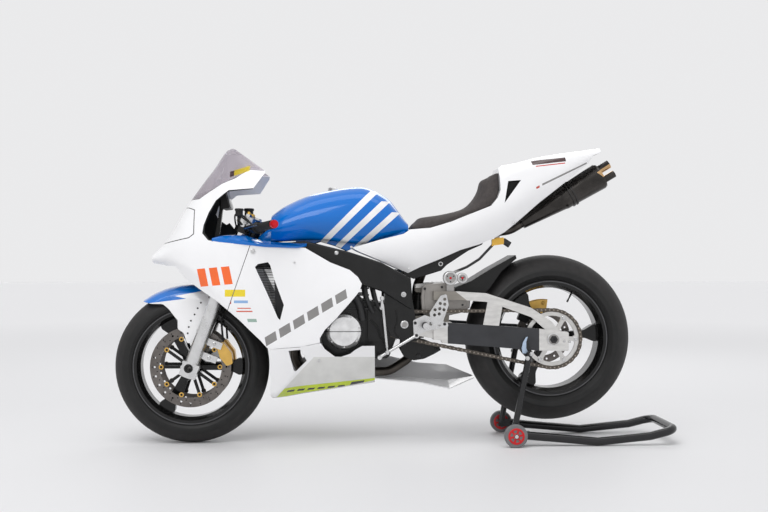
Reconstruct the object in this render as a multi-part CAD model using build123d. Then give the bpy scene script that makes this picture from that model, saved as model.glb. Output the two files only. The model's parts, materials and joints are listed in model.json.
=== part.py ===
from build123d import *
import math
import os

# A 600 cc class sport bike in race trim, held by a rear paddock stand.
# Lengths are millimetres. +X is forward, +Y is to the rider's left and +Z is up.
# Side outlines give each point as (behind, up): its distance behind the front
# axle and its height above the floor. The centre plane is Y = 0.

# ---- driving dimensions -------------------------------------------------

WHEELBASE = 1390.0
FRONT_TYRE_R = 298.0
FRONT_TYRE_HALF = 60.0
REAR_TYRE_R = 324.0
REAR_TYRE_HALF = 92.0
REAR_AXLE_UP = 405.0          # the stand lifts the rear tyre off the floor
RIM_SEAT_R = 216.0            # where the tyre beads sit, for a 17 inch rim
FLANGE_HIGH = 9.0             # the rim flanges stand this far above the bead seats
BEAD_PART = 0.82              # the beads span this part of the tyre's width
STAND_END = 1873.0            # rearmost point of the stand, behind the front axle
FRONT_AXLE_X = (STAND_END - FRONT_TYRE_R) / 2

RAKE = 20.6                   # degrees from upright, as the bike stands
AXLE_LEAD = 34.4              # the front axle lies this far ahead of the steering axis
FORK_LEAD = 30.0              # and the fork tubes this far
FORK_HALF = 102.0             # from the centre plane to a fork tube
STANCHION_R = 22.5
SLIDER_R = 28.0
SLIDER_TOP = 330.0            # along the steering axis from the axle
LOWER_CLAMP = 392.0
UPPER_CLAMP = 588.0
CLAMP_THICK = 30.0
FORK_TOP = UPPER_CLAMP + CLAMP_THICK
STEM_R = 15.0
STEM_BORE_R = 9.0
STEM_NUT = 8.0
CALIPER_FACE = 88.0           # where a caliper bolts to its fork leg's lugs

CHAIN_LEFT = 106.0            # the chain's middle plane
CHAIN_PITCH = 15.875
FRONT_TEETH = 16
REAR_TEETH = 44
SPROCKET_THICK = 6.6
COUNTERSHAFT_BEHIND = 728.0   # the front sprocket's centre, before the chain's length moves it
COUNTERSHAFT_UP = 469.0
CHAIN_PITCHES = 114
ROLLER_R = 4.9
TOOTH_TIP = 3.6               # the teeth stand this far beyond the pitch circle
TOOTH_ROOT = 5.4              # and their gaps go this far inside it
LINK_PLATE = 2.0              # thickness of a link's side plate
INNER_PLATE = 4.0             # from the chain's middle plane to an inner link's side plate
LINK_HALF_HIGH = 7.0
PIVOT = (818.0, 464.0)        # swingarm pivot
PIVOT_R = 12.0
BEAM_INNER = 98.0             # inner face of a swingarm beam
BEAM_OUTER = 140.0
TIE_TOP = 589.0               # top of the tie between the swingarm's casting and its upper braces

FAIRING_WALL = 4.0
SEAT_GAP = 0.3                # between pieces that bolt or rest on each other
RUNNING_GAP = 5.0             # between pieces that turn past each other
FIT = 1.0                     # running clearance round an axle

FRONT_AXLE_R = 12.5
FRONT_AXLE_BORE_R = 9.0
REAR_AXLE_R = 12.5
STAND_WHEEL = (1237.0, 44.0)
STAND_WHEEL_R = 44.0
STAND_HALF = 191.0            # centre plane to the middle of a stand wheel
STAND_TUBE_R = 16.0
STAND_TUBE_LEFT = 160.0
STUB_R = 9.0
CRADLE = (1294.0, 354.7)      # the pad under the swingarm's beam
CRADLE_R = 10.0

FRONT_AXLE = (0.0, FRONT_TYRE_R)
REAR_AXLE = (WHEELBASE, REAR_AXLE_UP)
FRONT_HUB_HALF = 52.0
FRONT_HUB_R = 34.0
REAR_HUB_HALF = 68.0
REAR_HUB_R = 46.0
FRONT_SPOKES = (119, 239, 359)
REAR_SPOKES = (5, 125, 245)
FRONT_DISC_R = 155.0
FRONT_DISC_IN_R = 119.0
FRONT_DISC_LEFT = 64.0        # the disc's middle plane
FRONT_DISC_THICK = 5.0
BOBBIN_R = 112.0
REAR_DISC_R = 110.0
REAR_DISC_RIGHT = 84.0
REAR_DISC_THICK = 5.0

HEAD_BOTTOM = LOWER_CLAMP + CLAMP_THICK + 6
HEAD_TOP = UPPER_CLAMP - 6
HEAD_R = 32.0
BAR_ROOT_UP = UPPER_CLAMP - 26    # clip-on clamp height along the steering axis
BAR_END = (332.0, 345.0, UPPER_CLAMP + 250)   # behind, left, up
BAR_R = 11.0
GRIP_R = 16.5
HOSE_R = 4.0

PLATE_INNER = 122.0           # a pivot plate's inner face
PLATE_OUTER = 150.0
PEDAL_PIVOT = (862.0, 424.0)
PEDAL_TOE = (722.0, 342.0)
PEDAL_LEFT = 167.0            # a pedal's middle from the centre plane
ENGINE_HALF = 120.0
GEARBOX_LEFT = CHAIN_LEFT - 16
ENGINE_CROSS = (770.0, 640.0, 14.0)   # behind, up and radius of the frame's upper cross tube
TANK_CROSS = (420.0, 752.0, 12.0)     # the same for the tube under the tank
NOSE_CROSS = (88.0, 762.0, 8.0)       # the same for the tube that holds the nose
SHOCK_LOW = (870.0, 0.0, 345.0)
SHOCK_HIGH = (884.0, 0.0, 600.0)
SHOCK_EYE_HALF = 18.0

EXHAUST_LOW = 268.0           # middle of the pipes under the engine
LINK_PIPE_R = 18.0
SILENCER_LOW = (1283.0, 850.0)
SILENCER_SLOPE = 31.0         # degrees that the silencer climbs

FENDER_HALF = FORK_HALF - SLIDER_R - SEAT_GAP
FENDER_WALL = 2.1
FENDER_BOLTS = [(34, 440), (58, 500)]   # behind and up, on each fork leg
TAIL_POST = (1077.0, 1093.0)  # the fore and rear faces of the posts that carry the seat's pan


# ---- placing and shaping helpers ----------------------------------------

def at(behind, left, up):
    """The point that lies so far behind the front axle, left of centre and above the floor."""
    return Vector(FRONT_AXLE_X - behind, left, up)


def steering_plane(along):
    """A plane square to the steering axis: its x is ahead, its y left and its z up the axis."""
    lean = math.radians(RAKE)
    foot = at(AXLE_LEAD * math.cos(lean), 0, FRONT_TYRE_R - AXLE_LEAD * math.sin(lean))
    up_axis = Vector(-math.sin(lean), 0, math.cos(lean))
    return Plane(origin=foot + up_axis * along, x_dir=(math.cos(lean), 0, math.sin(lean)), z_dir=up_axis)


def cross_plane(behind, up, left=0):
    """A plane square to a crosswise axis: its x is rearward, its y up and its z left."""
    return Plane(origin=at(behind, left, up), x_dir=(-1, 0, 0), z_dir=(0, 1, 0))


def rounded(corners, radius, close=True):
    """A polyline whose corners are rounded, each no more than its two sides leave room for."""
    count = len(corners)
    turns = range(count) if close else range(1, count - 1)
    radii = []
    for i in turns:
        before = corners[i] - corners[i - 1]
        after = corners[(i + 1) % count] - corners[i]
        half_turn = math.radians(before.get_angle(after)) / 2
        room = 0.45 * min(before.length, after.length) / math.tan(half_turn)
        radii.append(min(radius, room))
    return FilletPolyline(*corners, radius=radii, close=close)


def slab(points, right, left, radius=0):
    """A side outline extruded across the bike."""
    corners = [at(behind, right, up) for behind, up in points]
    if radius:
        edge = rounded(corners, radius)
    else:
        edge = Polyline(*corners, close=True)
    return extrude(make_face(edge), amount=left - right, dir=(0, 1, 0))


def rod(start, end, radius, bore=0):
    """A round bar or tube from one point to another."""
    length = (end - start).length
    bar = Plane(origin=start, z_dir=end - start) * Cylinder(radius, length, align=(Align.CENTER, Align.CENTER, Align.MIN))
    if bore:
        hole = Cylinder(bore, length, align=(Align.CENTER, Align.CENTER, Align.MIN))
        bar = bar - Plane(origin=start, z_dir=end - start) * hole
    return bar


def pipe(points, radius, bend, bore=0):
    """A round tube swept along straight runs joined by arcs."""
    path = rounded(points, bend, close=False)
    ring = Circle(radius)
    if bore:
        ring = ring - Circle(bore)
    return sweep(Plane(origin=path @ 0, z_dir=path % 0) * ring, path=path)


def turned(profile, radius=0):
    """A ring or disc turned about Z from a closed outline of (radius, along) points."""
    corners = [Vector(r, 0, along) for r, along in profile]
    if radius:
        edge = rounded(corners, radius)
    else:
        edge = Polyline(*corners, close=True)
    return revolve(make_face(edge), Axis.Z)


def both_sides(solid):
    """The left solid and its mirror image on the right."""
    return [solid, mirror(solid, about=Plane.XZ)]


def inset(points, depth):
    """A closed outline of (left, up) points moved inward all round."""
    count = len(points)
    area = sum(points[i - 1][0] * points[i][1] - points[i][0] * points[i - 1][1] for i in range(count))
    side = 1 if area > 0 else -1
    moved = []
    for i in range(count):
        x0, y0 = points[i - 1]
        x1, y1 = points[i]
        x2, y2 = points[(i + 1) % count]
        in_len = math.hypot(x1 - x0, y1 - y0)
        out_len = math.hypot(x2 - x1, y2 - y1)
        n1 = (-(y1 - y0) / in_len * side, (x1 - x0) / in_len * side)
        n2 = (-(y2 - y1) / out_len * side, (x2 - x1) / out_len * side)
        scale = depth / (1 + n1[0] * n2[0] + n1[1] * n2[1])
        moved.append((x1 + (n1[0] + n2[0]) * scale, y1 + (n1[1] + n2[1]) * scale))
    return moved


def lofted(stations, radius, wall=0):
    """A body through mirrored cross-sections, each a station behind the axle and its left half."""
    rings = []
    for behind, half in stations:
        ring = half + [(-left, up) for left, up in reversed(half)]
        if wall:
            ring = inset(ring, wall)
        corners = [at(behind, left, up) for left, up in ring]
        rings.append(Wire(rounded(corners, radius).edges()))
    return Solid.make_loft(rings, True)


# ---- wheels ---------------------------------------------------------------

def tyre(outer_r, half):
    """A round-crowned tyre, as a ring on the bead seats and over the rim flanges."""
    bead = half * BEAD_PART
    shoulder = outer_r - min(half, 62)
    lip = RIM_SEAT_R + FLANGE_HIGH + 1
    left = [Line((bead, RIM_SEAT_R), (bead, lip)), Line((bead, lip), (half, lip + 18)), Line((half, lip + 18), (half, shoulder))]
    right = [mirror(edge, about=Plane.YZ) for edge in left]
    crown = ThreePointArc((half, shoulder), (0, outer_r), (-half, shoulder))
    face = make_face(left + right + [crown, Line((-bead, RIM_SEAT_R), (bead, RIM_SEAT_R))])
    return revolve(Plane(origin=(0, 0, 0), x_dir=(0, 0, 1), z_dir=(0, -1, 0)) * face, Axis.Z)


def rim(half, hub_r, hub_half, bore_r, spoke_half, angles):
    """A cast rim with three flared spokes between hub and barrel."""
    seat = half * BEAD_PART
    well = RIM_SEAT_R - 20
    lip = RIM_SEAT_R + FLANGE_HIGH
    barrel = turned([(RIM_SEAT_R, -seat), (RIM_SEAT_R, seat), (lip, seat), (lip, seat + 4), (RIM_SEAT_R - 8, seat + 4),
                     (well, seat * 0.55), (well, -seat * 0.55), (RIM_SEAT_R - 8, -seat - 4), (lip, -seat - 4), (lip, -seat)])
    hub = turned([(bore_r, -hub_half), (hub_r * 0.8, -hub_half), (hub_r, -hub_half * 0.5), (hub_r, hub_half * 0.5),
                  (hub_r * 0.8, hub_half), (bore_r, hub_half)])
    reach = RIM_SEAT_R - 14
    spoke_face = make_face(rounded([Vector(0, -hub_r * 0.8), Vector(hub_r * 1.5, -16), Vector(reach * 0.72, -15),
                                    Vector(reach, -44), Vector(reach, 44), Vector(reach * 0.72, 15),
                                    Vector(hub_r * 1.5, 16), Vector(0, hub_r * 0.8)], 40))
    spoke = extrude(spoke_face, amount=spoke_half, both=True)
    wheel = barrel + hub
    for angle in angles:
        wheel = wheel + Rot(0, 0, angle) * spoke
    keep = turned([(bore_r, -hub_half - 1), (RIM_SEAT_R + 12, -half), (RIM_SEAT_R + 12, half), (bore_r, hub_half + 1)])
    return wheel & keep


def brake_disc(outer_r, inner_r, thick, holes):
    """A flat brake disc, with one ring of drillings."""
    disc = Cylinder(outer_r, thick) - Cylinder(inner_r, thick)
    for i in range(holes):
        disc = disc - Rot(0, 0, 360 * i / holes) * Pos((outer_r + inner_r) / 2, 0, 0) * Cylinder(4, thick)
    return disc


def carrier(hub_r, arm_r, bore_r, thick, arms, boss_r):
    """A disc carrier: a hub ring with arms that end in round bosses."""
    ring = Cylinder(hub_r, thick)
    for i in range(arms):
        arm = Pos(arm_r / 2, 0, 0) * Box(arm_r, boss_r * 1.3, thick)
        boss = Pos(arm_r, 0, 0) * Cylinder(boss_r, thick)
        ring = ring + Rot(0, 0, 360 * i / arms) * (arm + boss)
    return ring - Cylinder(bore_r, thick)


def front_tyre():
    return cross_plane(*FRONT_AXLE) * tyre(FRONT_TYRE_R, FRONT_TYRE_HALF)


def rear_tyre():
    return cross_plane(*REAR_AXLE) * tyre(REAR_TYRE_R, REAR_TYRE_HALF)


def front_rim():
    wheel = rim(FRONT_TYRE_HALF, FRONT_HUB_R, FRONT_HUB_HALF, FRONT_AXLE_R + FIT, 17, FRONT_SPOKES)
    return cross_plane(*FRONT_AXLE) * wheel


def rear_rim():
    wheel = rim(REAR_TYRE_HALF, REAR_HUB_R, REAR_HUB_HALF, REAR_AXLE_R + FIT, 22, REAR_SPOKES)
    return cross_plane(*REAR_AXLE) * wheel


def front_discs():
    """Two floating discs on their carriers, seated on the hub's ends."""
    lean = FRONT_DISC_LEFT - FRONT_HUB_HALF
    ring = brake_disc(FRONT_DISC_R, FRONT_DISC_IN_R, FRONT_DISC_THICK, 24)
    spider = carrier(FRONT_HUB_R, BOBBIN_R, FRONT_AXLE_R + FIT, FRONT_DISC_THICK, 10, 9)
    boss = Pos(0, 0, -lean / 2 - FRONT_DISC_THICK / 4) * Cylinder(FRONT_HUB_R * 0.8, lean - FRONT_DISC_THICK / 2)
    boss = boss - Pos(0, 0, -lean / 2) * Cylinder(FRONT_AXLE_R + FIT, 2 * lean)
    unit = Pos(0, 0, FRONT_DISC_LEFT) * (ring + spider + boss)
    place = cross_plane(*FRONT_AXLE)
    return Compound([place * unit, place * mirror(unit, about=Plane.XY)])


def rear_disc():
    ring = brake_disc(REAR_DISC_R, REAR_DISC_R - 30, REAR_DISC_THICK, 18)
    spider = carrier(REAR_HUB_R * 0.8, REAR_DISC_R - 26, REAR_AXLE_R + FIT, REAR_DISC_THICK, 4, 9)
    boss_len = REAR_DISC_RIGHT - REAR_DISC_THICK / 2 - REAR_HUB_HALF
    boss = Pos(0, 0, REAR_DISC_THICK / 2 + boss_len / 2) * (Cylinder(REAR_HUB_R * 0.8, boss_len) - Cylinder(REAR_AXLE_R + FIT, boss_len))
    return cross_plane(*REAR_AXLE) * Pos(0, 0, -REAR_DISC_RIGHT) * (ring + spider + boss)


def pitch_radius(teeth):
    return CHAIN_PITCH / 2 / math.sin(math.pi / teeth)


def chain_lengths(span):
    """For sprocket centres so far apart: a straight run's length, its slope to the centre line, and pitches in all."""
    slope = math.asin((pitch_radius(REAR_TEETH) - pitch_radius(FRONT_TEETH)) / span)
    straight = span * math.cos(slope)
    wraps = FRONT_TEETH * (0.5 - slope / math.pi) + REAR_TEETH * (0.5 + slope / math.pi)
    return straight, slope, 2 * straight / CHAIN_PITCH + wraps


def countershaft():
    """The front sprocket's centre, set so that the chain is a whole number of pitches."""
    rise = math.atan2(COUNTERSHAFT_UP - REAR_AXLE_UP, WHEELBASE - COUNTERSHAFT_BEHIND)
    near, far = 400.0, 900.0
    while far - near > 1e-6:
        span = (near + far) / 2
        if chain_lengths(span)[2] > CHAIN_PITCHES:
            far = span
        else:
            near = span
    return WHEELBASE - span * math.cos(rise), REAR_AXLE_UP + span * math.sin(rise), span, rise


COUNTERSHAFT = countershaft()[:2]


def chain_pins():
    """Each pin's place, as (behind, up, which sprocket it lies on), walking rearward along the upper run."""
    behind, up, span, rise = countershaft()
    straight, slope, total = chain_lengths(span)
    front_r = pitch_radius(FRONT_TEETH)
    rear_r = pitch_radius(REAR_TEETH)
    rear_wrap = REAR_TEETH * (0.5 + slope / math.pi)
    run = straight / CHAIN_PITCH
    pins = []
    for i in range(CHAIN_PITCHES):
        walked = float(i)
        turn = math.pi / 2 + slope - rise      # from straight behind, towards up
        if walked < run:
            part = walked / run
            start = (behind + front_r * math.cos(turn), up + front_r * math.sin(turn))
            end = (WHEELBASE + rear_r * math.cos(turn), REAR_AXLE_UP + rear_r * math.sin(turn))
            pins.append((start[0] + (end[0] - start[0]) * part, start[1] + (end[1] - start[1]) * part, "run"))
            continue
        walked = walked - run
        if walked < rear_wrap:
            angle = turn - walked * 2 * math.pi / REAR_TEETH
            pins.append((WHEELBASE + rear_r * math.cos(angle), REAR_AXLE_UP + rear_r * math.sin(angle), "rear"))
            continue
        walked = walked - rear_wrap
        turn = -math.pi / 2 - slope - rise
        if walked < run:
            part = walked / run
            start = (WHEELBASE + rear_r * math.cos(turn), REAR_AXLE_UP + rear_r * math.sin(turn))
            end = (behind + front_r * math.cos(turn), up + front_r * math.sin(turn))
            pins.append((start[0] + (end[0] - start[0]) * part, start[1] + (end[1] - start[1]) * part, "run"))
            continue
        walked = walked - run
        angle = turn - walked * 2 * math.pi / FRONT_TEETH
        pins.append((behind + front_r * math.cos(angle), up + front_r * math.sin(angle), "front"))
    return pins


def first_gap(sprocket):
    """The angle of one of the chain's pins about its sprocket, from straight behind towards up."""
    centre = COUNTERSHAFT if sprocket == "front" else REAR_AXLE
    pin = next(pin for pin in chain_pins() if pin[2] == sprocket)
    return math.atan2(pin[1] - centre[1], pin[0] - centre[0])


def sprocket_blank(teeth, gap_angle):
    """A toothed disc whose gaps take the chain's rollers, one of them at the angle given."""
    pitch_r = pitch_radius(teeth)
    corners = []
    for i in range(teeth):
        angle = gap_angle + 2 * math.pi * i / teeth
        for rise, along in ((TOOTH_TIP, -7.0), (-TOOTH_ROOT, -3.4), (-TOOTH_ROOT, 3.4), (TOOTH_TIP, 7.0)):
            radius = pitch_r + rise
            corners.append((radius * math.cos(angle) - along * math.sin(angle), radius * math.sin(angle) + along * math.cos(angle)))
    return extrude(make_face(Polyline(*corners, close=True)), amount=SPROCKET_THICK / 2, both=True)


def rear_sprocket():
    """The toothed ring with its open web, and the carrier that bolts it to the hub."""
    pitch_r = pitch_radius(REAR_TEETH)
    plate = sprocket_blank(REAR_TEETH, first_gap("rear")) - Cylinder(pitch_r - 22, SPROCKET_THICK)
    spider = carrier(REAR_HUB_R, pitch_r - 20, REAR_AXLE_R + FIT, SPROCKET_THICK, 6, 13)
    boss_len = CHAIN_LEFT - SPROCKET_THICK / 2 - REAR_HUB_HALF
    boss = Cylinder(REAR_HUB_R * 0.8, boss_len) - Cylinder(REAR_AXLE_R + FIT, boss_len)
    boss = Pos(0, 0, -SPROCKET_THICK / 2 - boss_len / 2) * boss
    return cross_plane(*REAR_AXLE) * Pos(0, 0, CHAIN_LEFT) * (plate + spider + boss)


# ---- fork and steering ------------------------------------------------------



def fork_sliders():
    """The two lower fork legs, each with its axle clamp and caliper lugs."""
    base = steering_plane(0)
    leg = Pos(FORK_LEAD, FORK_HALF, -36) * Cylinder(SLIDER_R, SLIDER_TOP + 36, align=(Align.CENTER, Align.CENTER, Align.MIN))
    foot = Pos(AXLE_LEAD - 4, FORK_HALF, -6) * Box(64, 2 * SLIDER_R - 6, 56)
    lug_middle = CALIPER_FACE + 7
    lug = Pos(-22, lug_middle, 118) * Box(60, 14, 26) + Pos(-22, lug_middle, 62) * Box(60, 14, 26)
    leg = leg + foot + lug
    leg = base * leg - cross_plane(*FRONT_AXLE) * Cylinder(FRONT_AXLE_R, 600)
    for behind, up in FENDER_BOLTS:
        leg = leg + rod(at(behind, FENDER_HALF + SEAT_GAP, up), at(behind, FORK_HALF - 6, up), 9)
    leg = leg - base * Pos(FORK_LEAD, FORK_HALF, 60) * Cylinder(STANCHION_R, SLIDER_TOP, align=(Align.CENTER, Align.CENTER, Align.MIN))
    return Compound(both_sides(leg))


def fork_stanchions():
    """The two upper fork tubes, with their caps."""
    tube = Pos(FORK_LEAD, FORK_HALF, 60) * Cylinder(STANCHION_R, FORK_TOP - 60, align=(Align.CENTER, Align.CENTER, Align.MIN))
    cap = Pos(FORK_LEAD, FORK_HALF, FORK_TOP) * extrude(RegularPolygon(14, 6), amount=9)
    return Compound(both_sides(steering_plane(0) * (tube + cap)))


def clamp_outline(lead, half, tube_r, thick):
    """A fork clamp seen along the steering axis: a bridge with a boss round each tube."""
    bridge = make_face(rounded([Vector(-24, -46), Vector(-24, 46), Vector(lead - 20, half + 6), Vector(lead + 18, half + 4),
                                Vector(30, 40), Vector(30, -40), Vector(lead + 18, -half - 4), Vector(lead - 20, -half - 6)], 16))
    plate = extrude(bridge, amount=thick)
    for side in (-1, 1):
        plate = plate + Pos(lead, side * half, thick / 2) * Cylinder(tube_r + 12, thick)
        plate = plate - Pos(lead, side * half, thick / 2) * Cylinder(tube_r, thick)
    return plate


def fork_clamps():
    """The lower clamp with the steering stem, and the upper clamp on top of the stem."""
    plate = clamp_outline(FORK_LEAD, FORK_HALF, STANCHION_R, CLAMP_THICK)
    stem_len = UPPER_CLAMP - LOWER_CLAMP
    stem = Pos(0, 0, LOWER_CLAMP) * Cylinder(STEM_R, stem_len, align=(Align.CENTER, Align.CENTER, Align.MIN))
    unit = Pos(0, 0, LOWER_CLAMP) * plate + stem + Pos(0, 0, UPPER_CLAMP) * plate
    unit = unit + Pos(0, 0, UPPER_CLAMP + CLAMP_THICK) * extrude(RegularPolygon(17, 6), amount=STEM_NUT)
    bore_len = UPPER_CLAMP + CLAMP_THICK + STEM_NUT - LOWER_CLAMP
    bore = Cylinder(STEM_BORE_R, bore_len, align=(Align.CENTER, Align.CENTER, Align.MIN))
    return steering_plane(0) * (unit - Pos(0, 0, LOWER_CLAMP) * bore)


def bar_points():
    """The clip-on's inner end at its clamp and its outer end."""
    root = steering_plane(BAR_ROOT_UP).from_local_coords(Vector(FORK_LEAD - 6, FORK_HALF, 0))
    return root, at(*BAR_END)


def handlebars():
    """Two clip-on bars, each with the ring that clamps its fork tube."""
    root, tip = bar_points()
    ring = Pos(FORK_LEAD, FORK_HALF, BAR_ROOT_UP) * Cylinder(STANCHION_R + 9, 24)
    bar = steering_plane(0) * ring + rod(root, tip, BAR_R)
    tube = Pos(FORK_LEAD, FORK_HALF, BAR_ROOT_UP) * Cylinder(STANCHION_R, 80)
    return Compound(both_sides(bar - steering_plane(0) * tube))


def along_bar(part):
    root, tip = bar_points()
    return root + (tip - root) * part


def grips():
    grip = rod(along_bar(0.50), along_bar(0.985), GRIP_R, BAR_R)
    flange = rod(along_bar(0.48), along_bar(0.50), GRIP_R + 6, BAR_R)
    return Compound(both_sides(grip + flange))


def bar_ends():
    tip = bar_points()[1]
    step = (tip - bar_points()[0]).normalized()
    weight = rod(tip, tip + step * 12, 15) + rod(tip + step * 12, tip + step * 17, 11)
    return Compound(both_sides(weight))


def hand_controls():
    """The clutch lever and perch on the left, the front brake lever and master cylinder on the right."""
    perch = rod(along_bar(0.36), along_bar(0.45), 18, BAR_R)
    base = along_bar(0.40)
    tip = along_bar(0.93)
    ahead = (tip - base).cross(Vector(0, 0, 1)).normalized()
    lever = pipe([base + ahead * 16, base + ahead * 44 + Vector(0, 22, 0), tip + ahead * 58, tip + ahead * 50 + Vector(0, 18, 0)],
                 5.5, 20)
    left = perch + rod(base + ahead * (BAR_R + 2), base + ahead * 30, 10) + lever
    right = mirror(left, about=Plane.XZ)
    seat = base + ahead * 44
    cup = Pos(seat.X, -seat.Y + 14, seat.Z + 6) * Cylinder(19, 40, align=(Align.CENTER, Align.CENTER, Align.MIN))
    return Compound([left, right + cup])


def front_axle():
    """The hollow front axle, held in both sliders."""
    reach = FORK_HALF + SLIDER_R
    return rod(at(0, -reach, FRONT_TYRE_R), at(0, reach, FRONT_TYRE_R), FRONT_AXLE_R, FRONT_AXLE_BORE_R)


CALIPER_SIDE = [(99, 383), (124, 396), (158, 352), (163, 312), (140, 303), (114, 335)]


def front_calipers():
    """A caliper over each front disc, bolted behind its fork leg."""
    near = FRONT_DISC_LEFT - FRONT_DISC_THICK / 2 - 5
    far = FRONT_DISC_LEFT + FRONT_DISC_THICK / 2 + 5
    body = slab(CALIPER_SIDE, near - 18, CALIPER_FACE, 8)
    slot = cross_plane(*FRONT_AXLE, FRONT_DISC_LEFT) * Cylinder(FRONT_DISC_R + 5, far - near)
    return Compound(both_sides(body - slot))


FENDER_SIDE = [(-189, 549), (-160, 580), (-60, 625), (40, 625), (82, 600), (82, 536), (36, 413), (17, 390), (-13, 390),
               (-25, 429), (-48, 444), (-48, 479), (-59, 490), (-82, 521), (-105, 540), (-147, 541)]
# radius about the axle and distance from the centre plane, from a side's foot to the crown
FENDER_CROWN = [(284, 1.0), (303, 0.8), (313, 0.42), (316, 0.0)]


def fender_solid(radius_less, half):
    """A crowned ring round the front wheel, filled to the axle."""
    side = [(radius - radius_less, part * half) for radius, part in FENDER_CROWN]
    profile = [(0, half)] + side + [(radius, -along) for radius, along in reversed(side[:-1])] + [(0, -half)]
    return cross_plane(*FRONT_AXLE) * turned(profile)


def front_fender():
    """A short crowned fender over the wheel, with a side wing bolted to each fork leg."""
    outer = fender_solid(0, FENDER_HALF) & slab(FENDER_SIDE, -FENDER_HALF, FENDER_HALF, 6)
    return outer - fender_solid(FENDER_WALL + 1, FENDER_HALF - FENDER_WALL)


def brake_hoses():
    """The two front brake hoses, from the lower clamp down behind each fork leg to its caliper."""
    clamp_face = steering_plane(LOWER_CLAMP - SEAT_GAP)
    top = clamp_face.from_local_coords(Vector(4, 78, 0))
    below = clamp_face.from_local_coords(Vector(4, 78, -90))
    hose = pipe([top, below, at(120, 90, 470), at(126, 80, 395.3)], HOSE_R, 60)
    return Compound(both_sides(hose))


# ---- chassis ------------------------------------------------------------------

SPAR_TABLE = [
    # behind, middle from centre, low, high, half thickness
    (222, 34, 676, 754, 17),
    (320, 100, 672, 768, 18),
    (440, 146, 668, 782, 20),
    (600, 150, 632, 742, 20),
    (730, 146, 590, 700, 20),
    (842, 138, 520, 640, 18),
]
PIVOT_PLATE = [(742, 640), (842, 640), (848, 557), (862, 481), (872, 402), (826, 396), (766, 420), (742, 480)]
def spar_at(behind):
    """A spar's middle from centre, low, high and half thickness, where it lies so far behind the axle."""
    for near, far in zip(SPAR_TABLE, SPAR_TABLE[1:]):
        if behind <= far[0]:
            part = (behind - near[0]) / (far[0] - near[0])
            return [a + (b - a) * part for a, b in zip(near[1:], far[1:])]


def tank_floor(behind):
    """The height of the tank's underside, where it lies so far behind the axle."""
    for near, far in zip(TANK_TABLE, TANK_TABLE[1:]):
        if behind <= far[0]:
            part = (behind - near[0]) / (far[0] - near[0])
            return near[-1][1] + (far[-1][1] - near[-1][1]) * part


def cross_tube(place, reach):
    behind, up, radius = place
    return rod(at(behind, -reach, up), at(behind, reach, up), radius)


def frame(cavity):
    """A twin-spar frame: head tube, two spars, two pivot plates, cross tubes, and stays for tank and nose."""
    rings = []
    for behind, middle, low, high, half in SPAR_TABLE:
        corners = [at(behind, middle - half, low), at(behind, middle + half, low),
                   at(behind, middle + half, high), at(behind, middle - half, high)]
        rings.append(Wire(rounded(corners, 10).edges()))
    spar = Solid.make_loft(rings, True)
    plate = slab(PIVOT_PLATE, PLATE_INNER, PLATE_OUTER, 14)
    hanger = slab([(480, 700), (545, 690), (535, 610), (495, 610)], ENGINE_HALF, PLATE_INNER + 16, 8)
    side = spar + plate + hanger
    head = steering_plane(HEAD_BOTTOM) * Cylinder(HEAD_R, HEAD_TOP - HEAD_BOTTOM, align=(Align.CENTER, Align.CENTER, Align.MIN))
    body = head + side + mirror(side, about=Plane.XZ)
    body = body + slab([(200, 690), (200, 752), (262, 752), (262, 690)], -52, 52, 8)
    body = body + cross_tube(ENGINE_CROSS, PLATE_INNER + 5)
    body = body + cross_tube(TANK_CROSS, spar_at(TANK_CROSS[0])[0])
    fore, rear = TANK_CROSS[0] - 10, TANK_CROSS[0] + 10
    for left in (-60, 60):
        body = body + slab([(fore, TANK_CROSS[1]), (fore, tank_floor(fore) - SEAT_GAP), (rear, tank_floor(rear) - SEAT_GAP),
                            (rear, TANK_CROSS[1])], left - 9, left + 9)
    body = body + slab([(202, 748), (202, 776), (80, 771), (80, 753)], -9, 9)
    dash_stay = slab([(80, 756), (98, 756), (117.4, 909), (112.6, 972), (103, 972), (104, 905)], -14, 14)
    body = body + dash_stay + (cross_tube(NOSE_CROSS, 280) & cavity)
    bore = steering_plane(HEAD_BOTTOM - 20) * Cylinder(STEM_R + SEAT_GAP, 300, align=(Align.CENTER, Align.CENTER, Align.MIN))
    return body - bore - rod(at(PIVOT[0], -200, PIVOT[1]), at(PIVOT[0], 200, PIVOT[1]), PIVOT_R)


def pivot_shaft():
    """The swingarm pivot shaft through both pivot plates."""
    return rod(at(PIVOT[0], -PLATE_OUTER - 3, PIVOT[1]), at(PIVOT[0], PLATE_OUTER + 3, PIVOT[1]), PIVOT_R)


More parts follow.
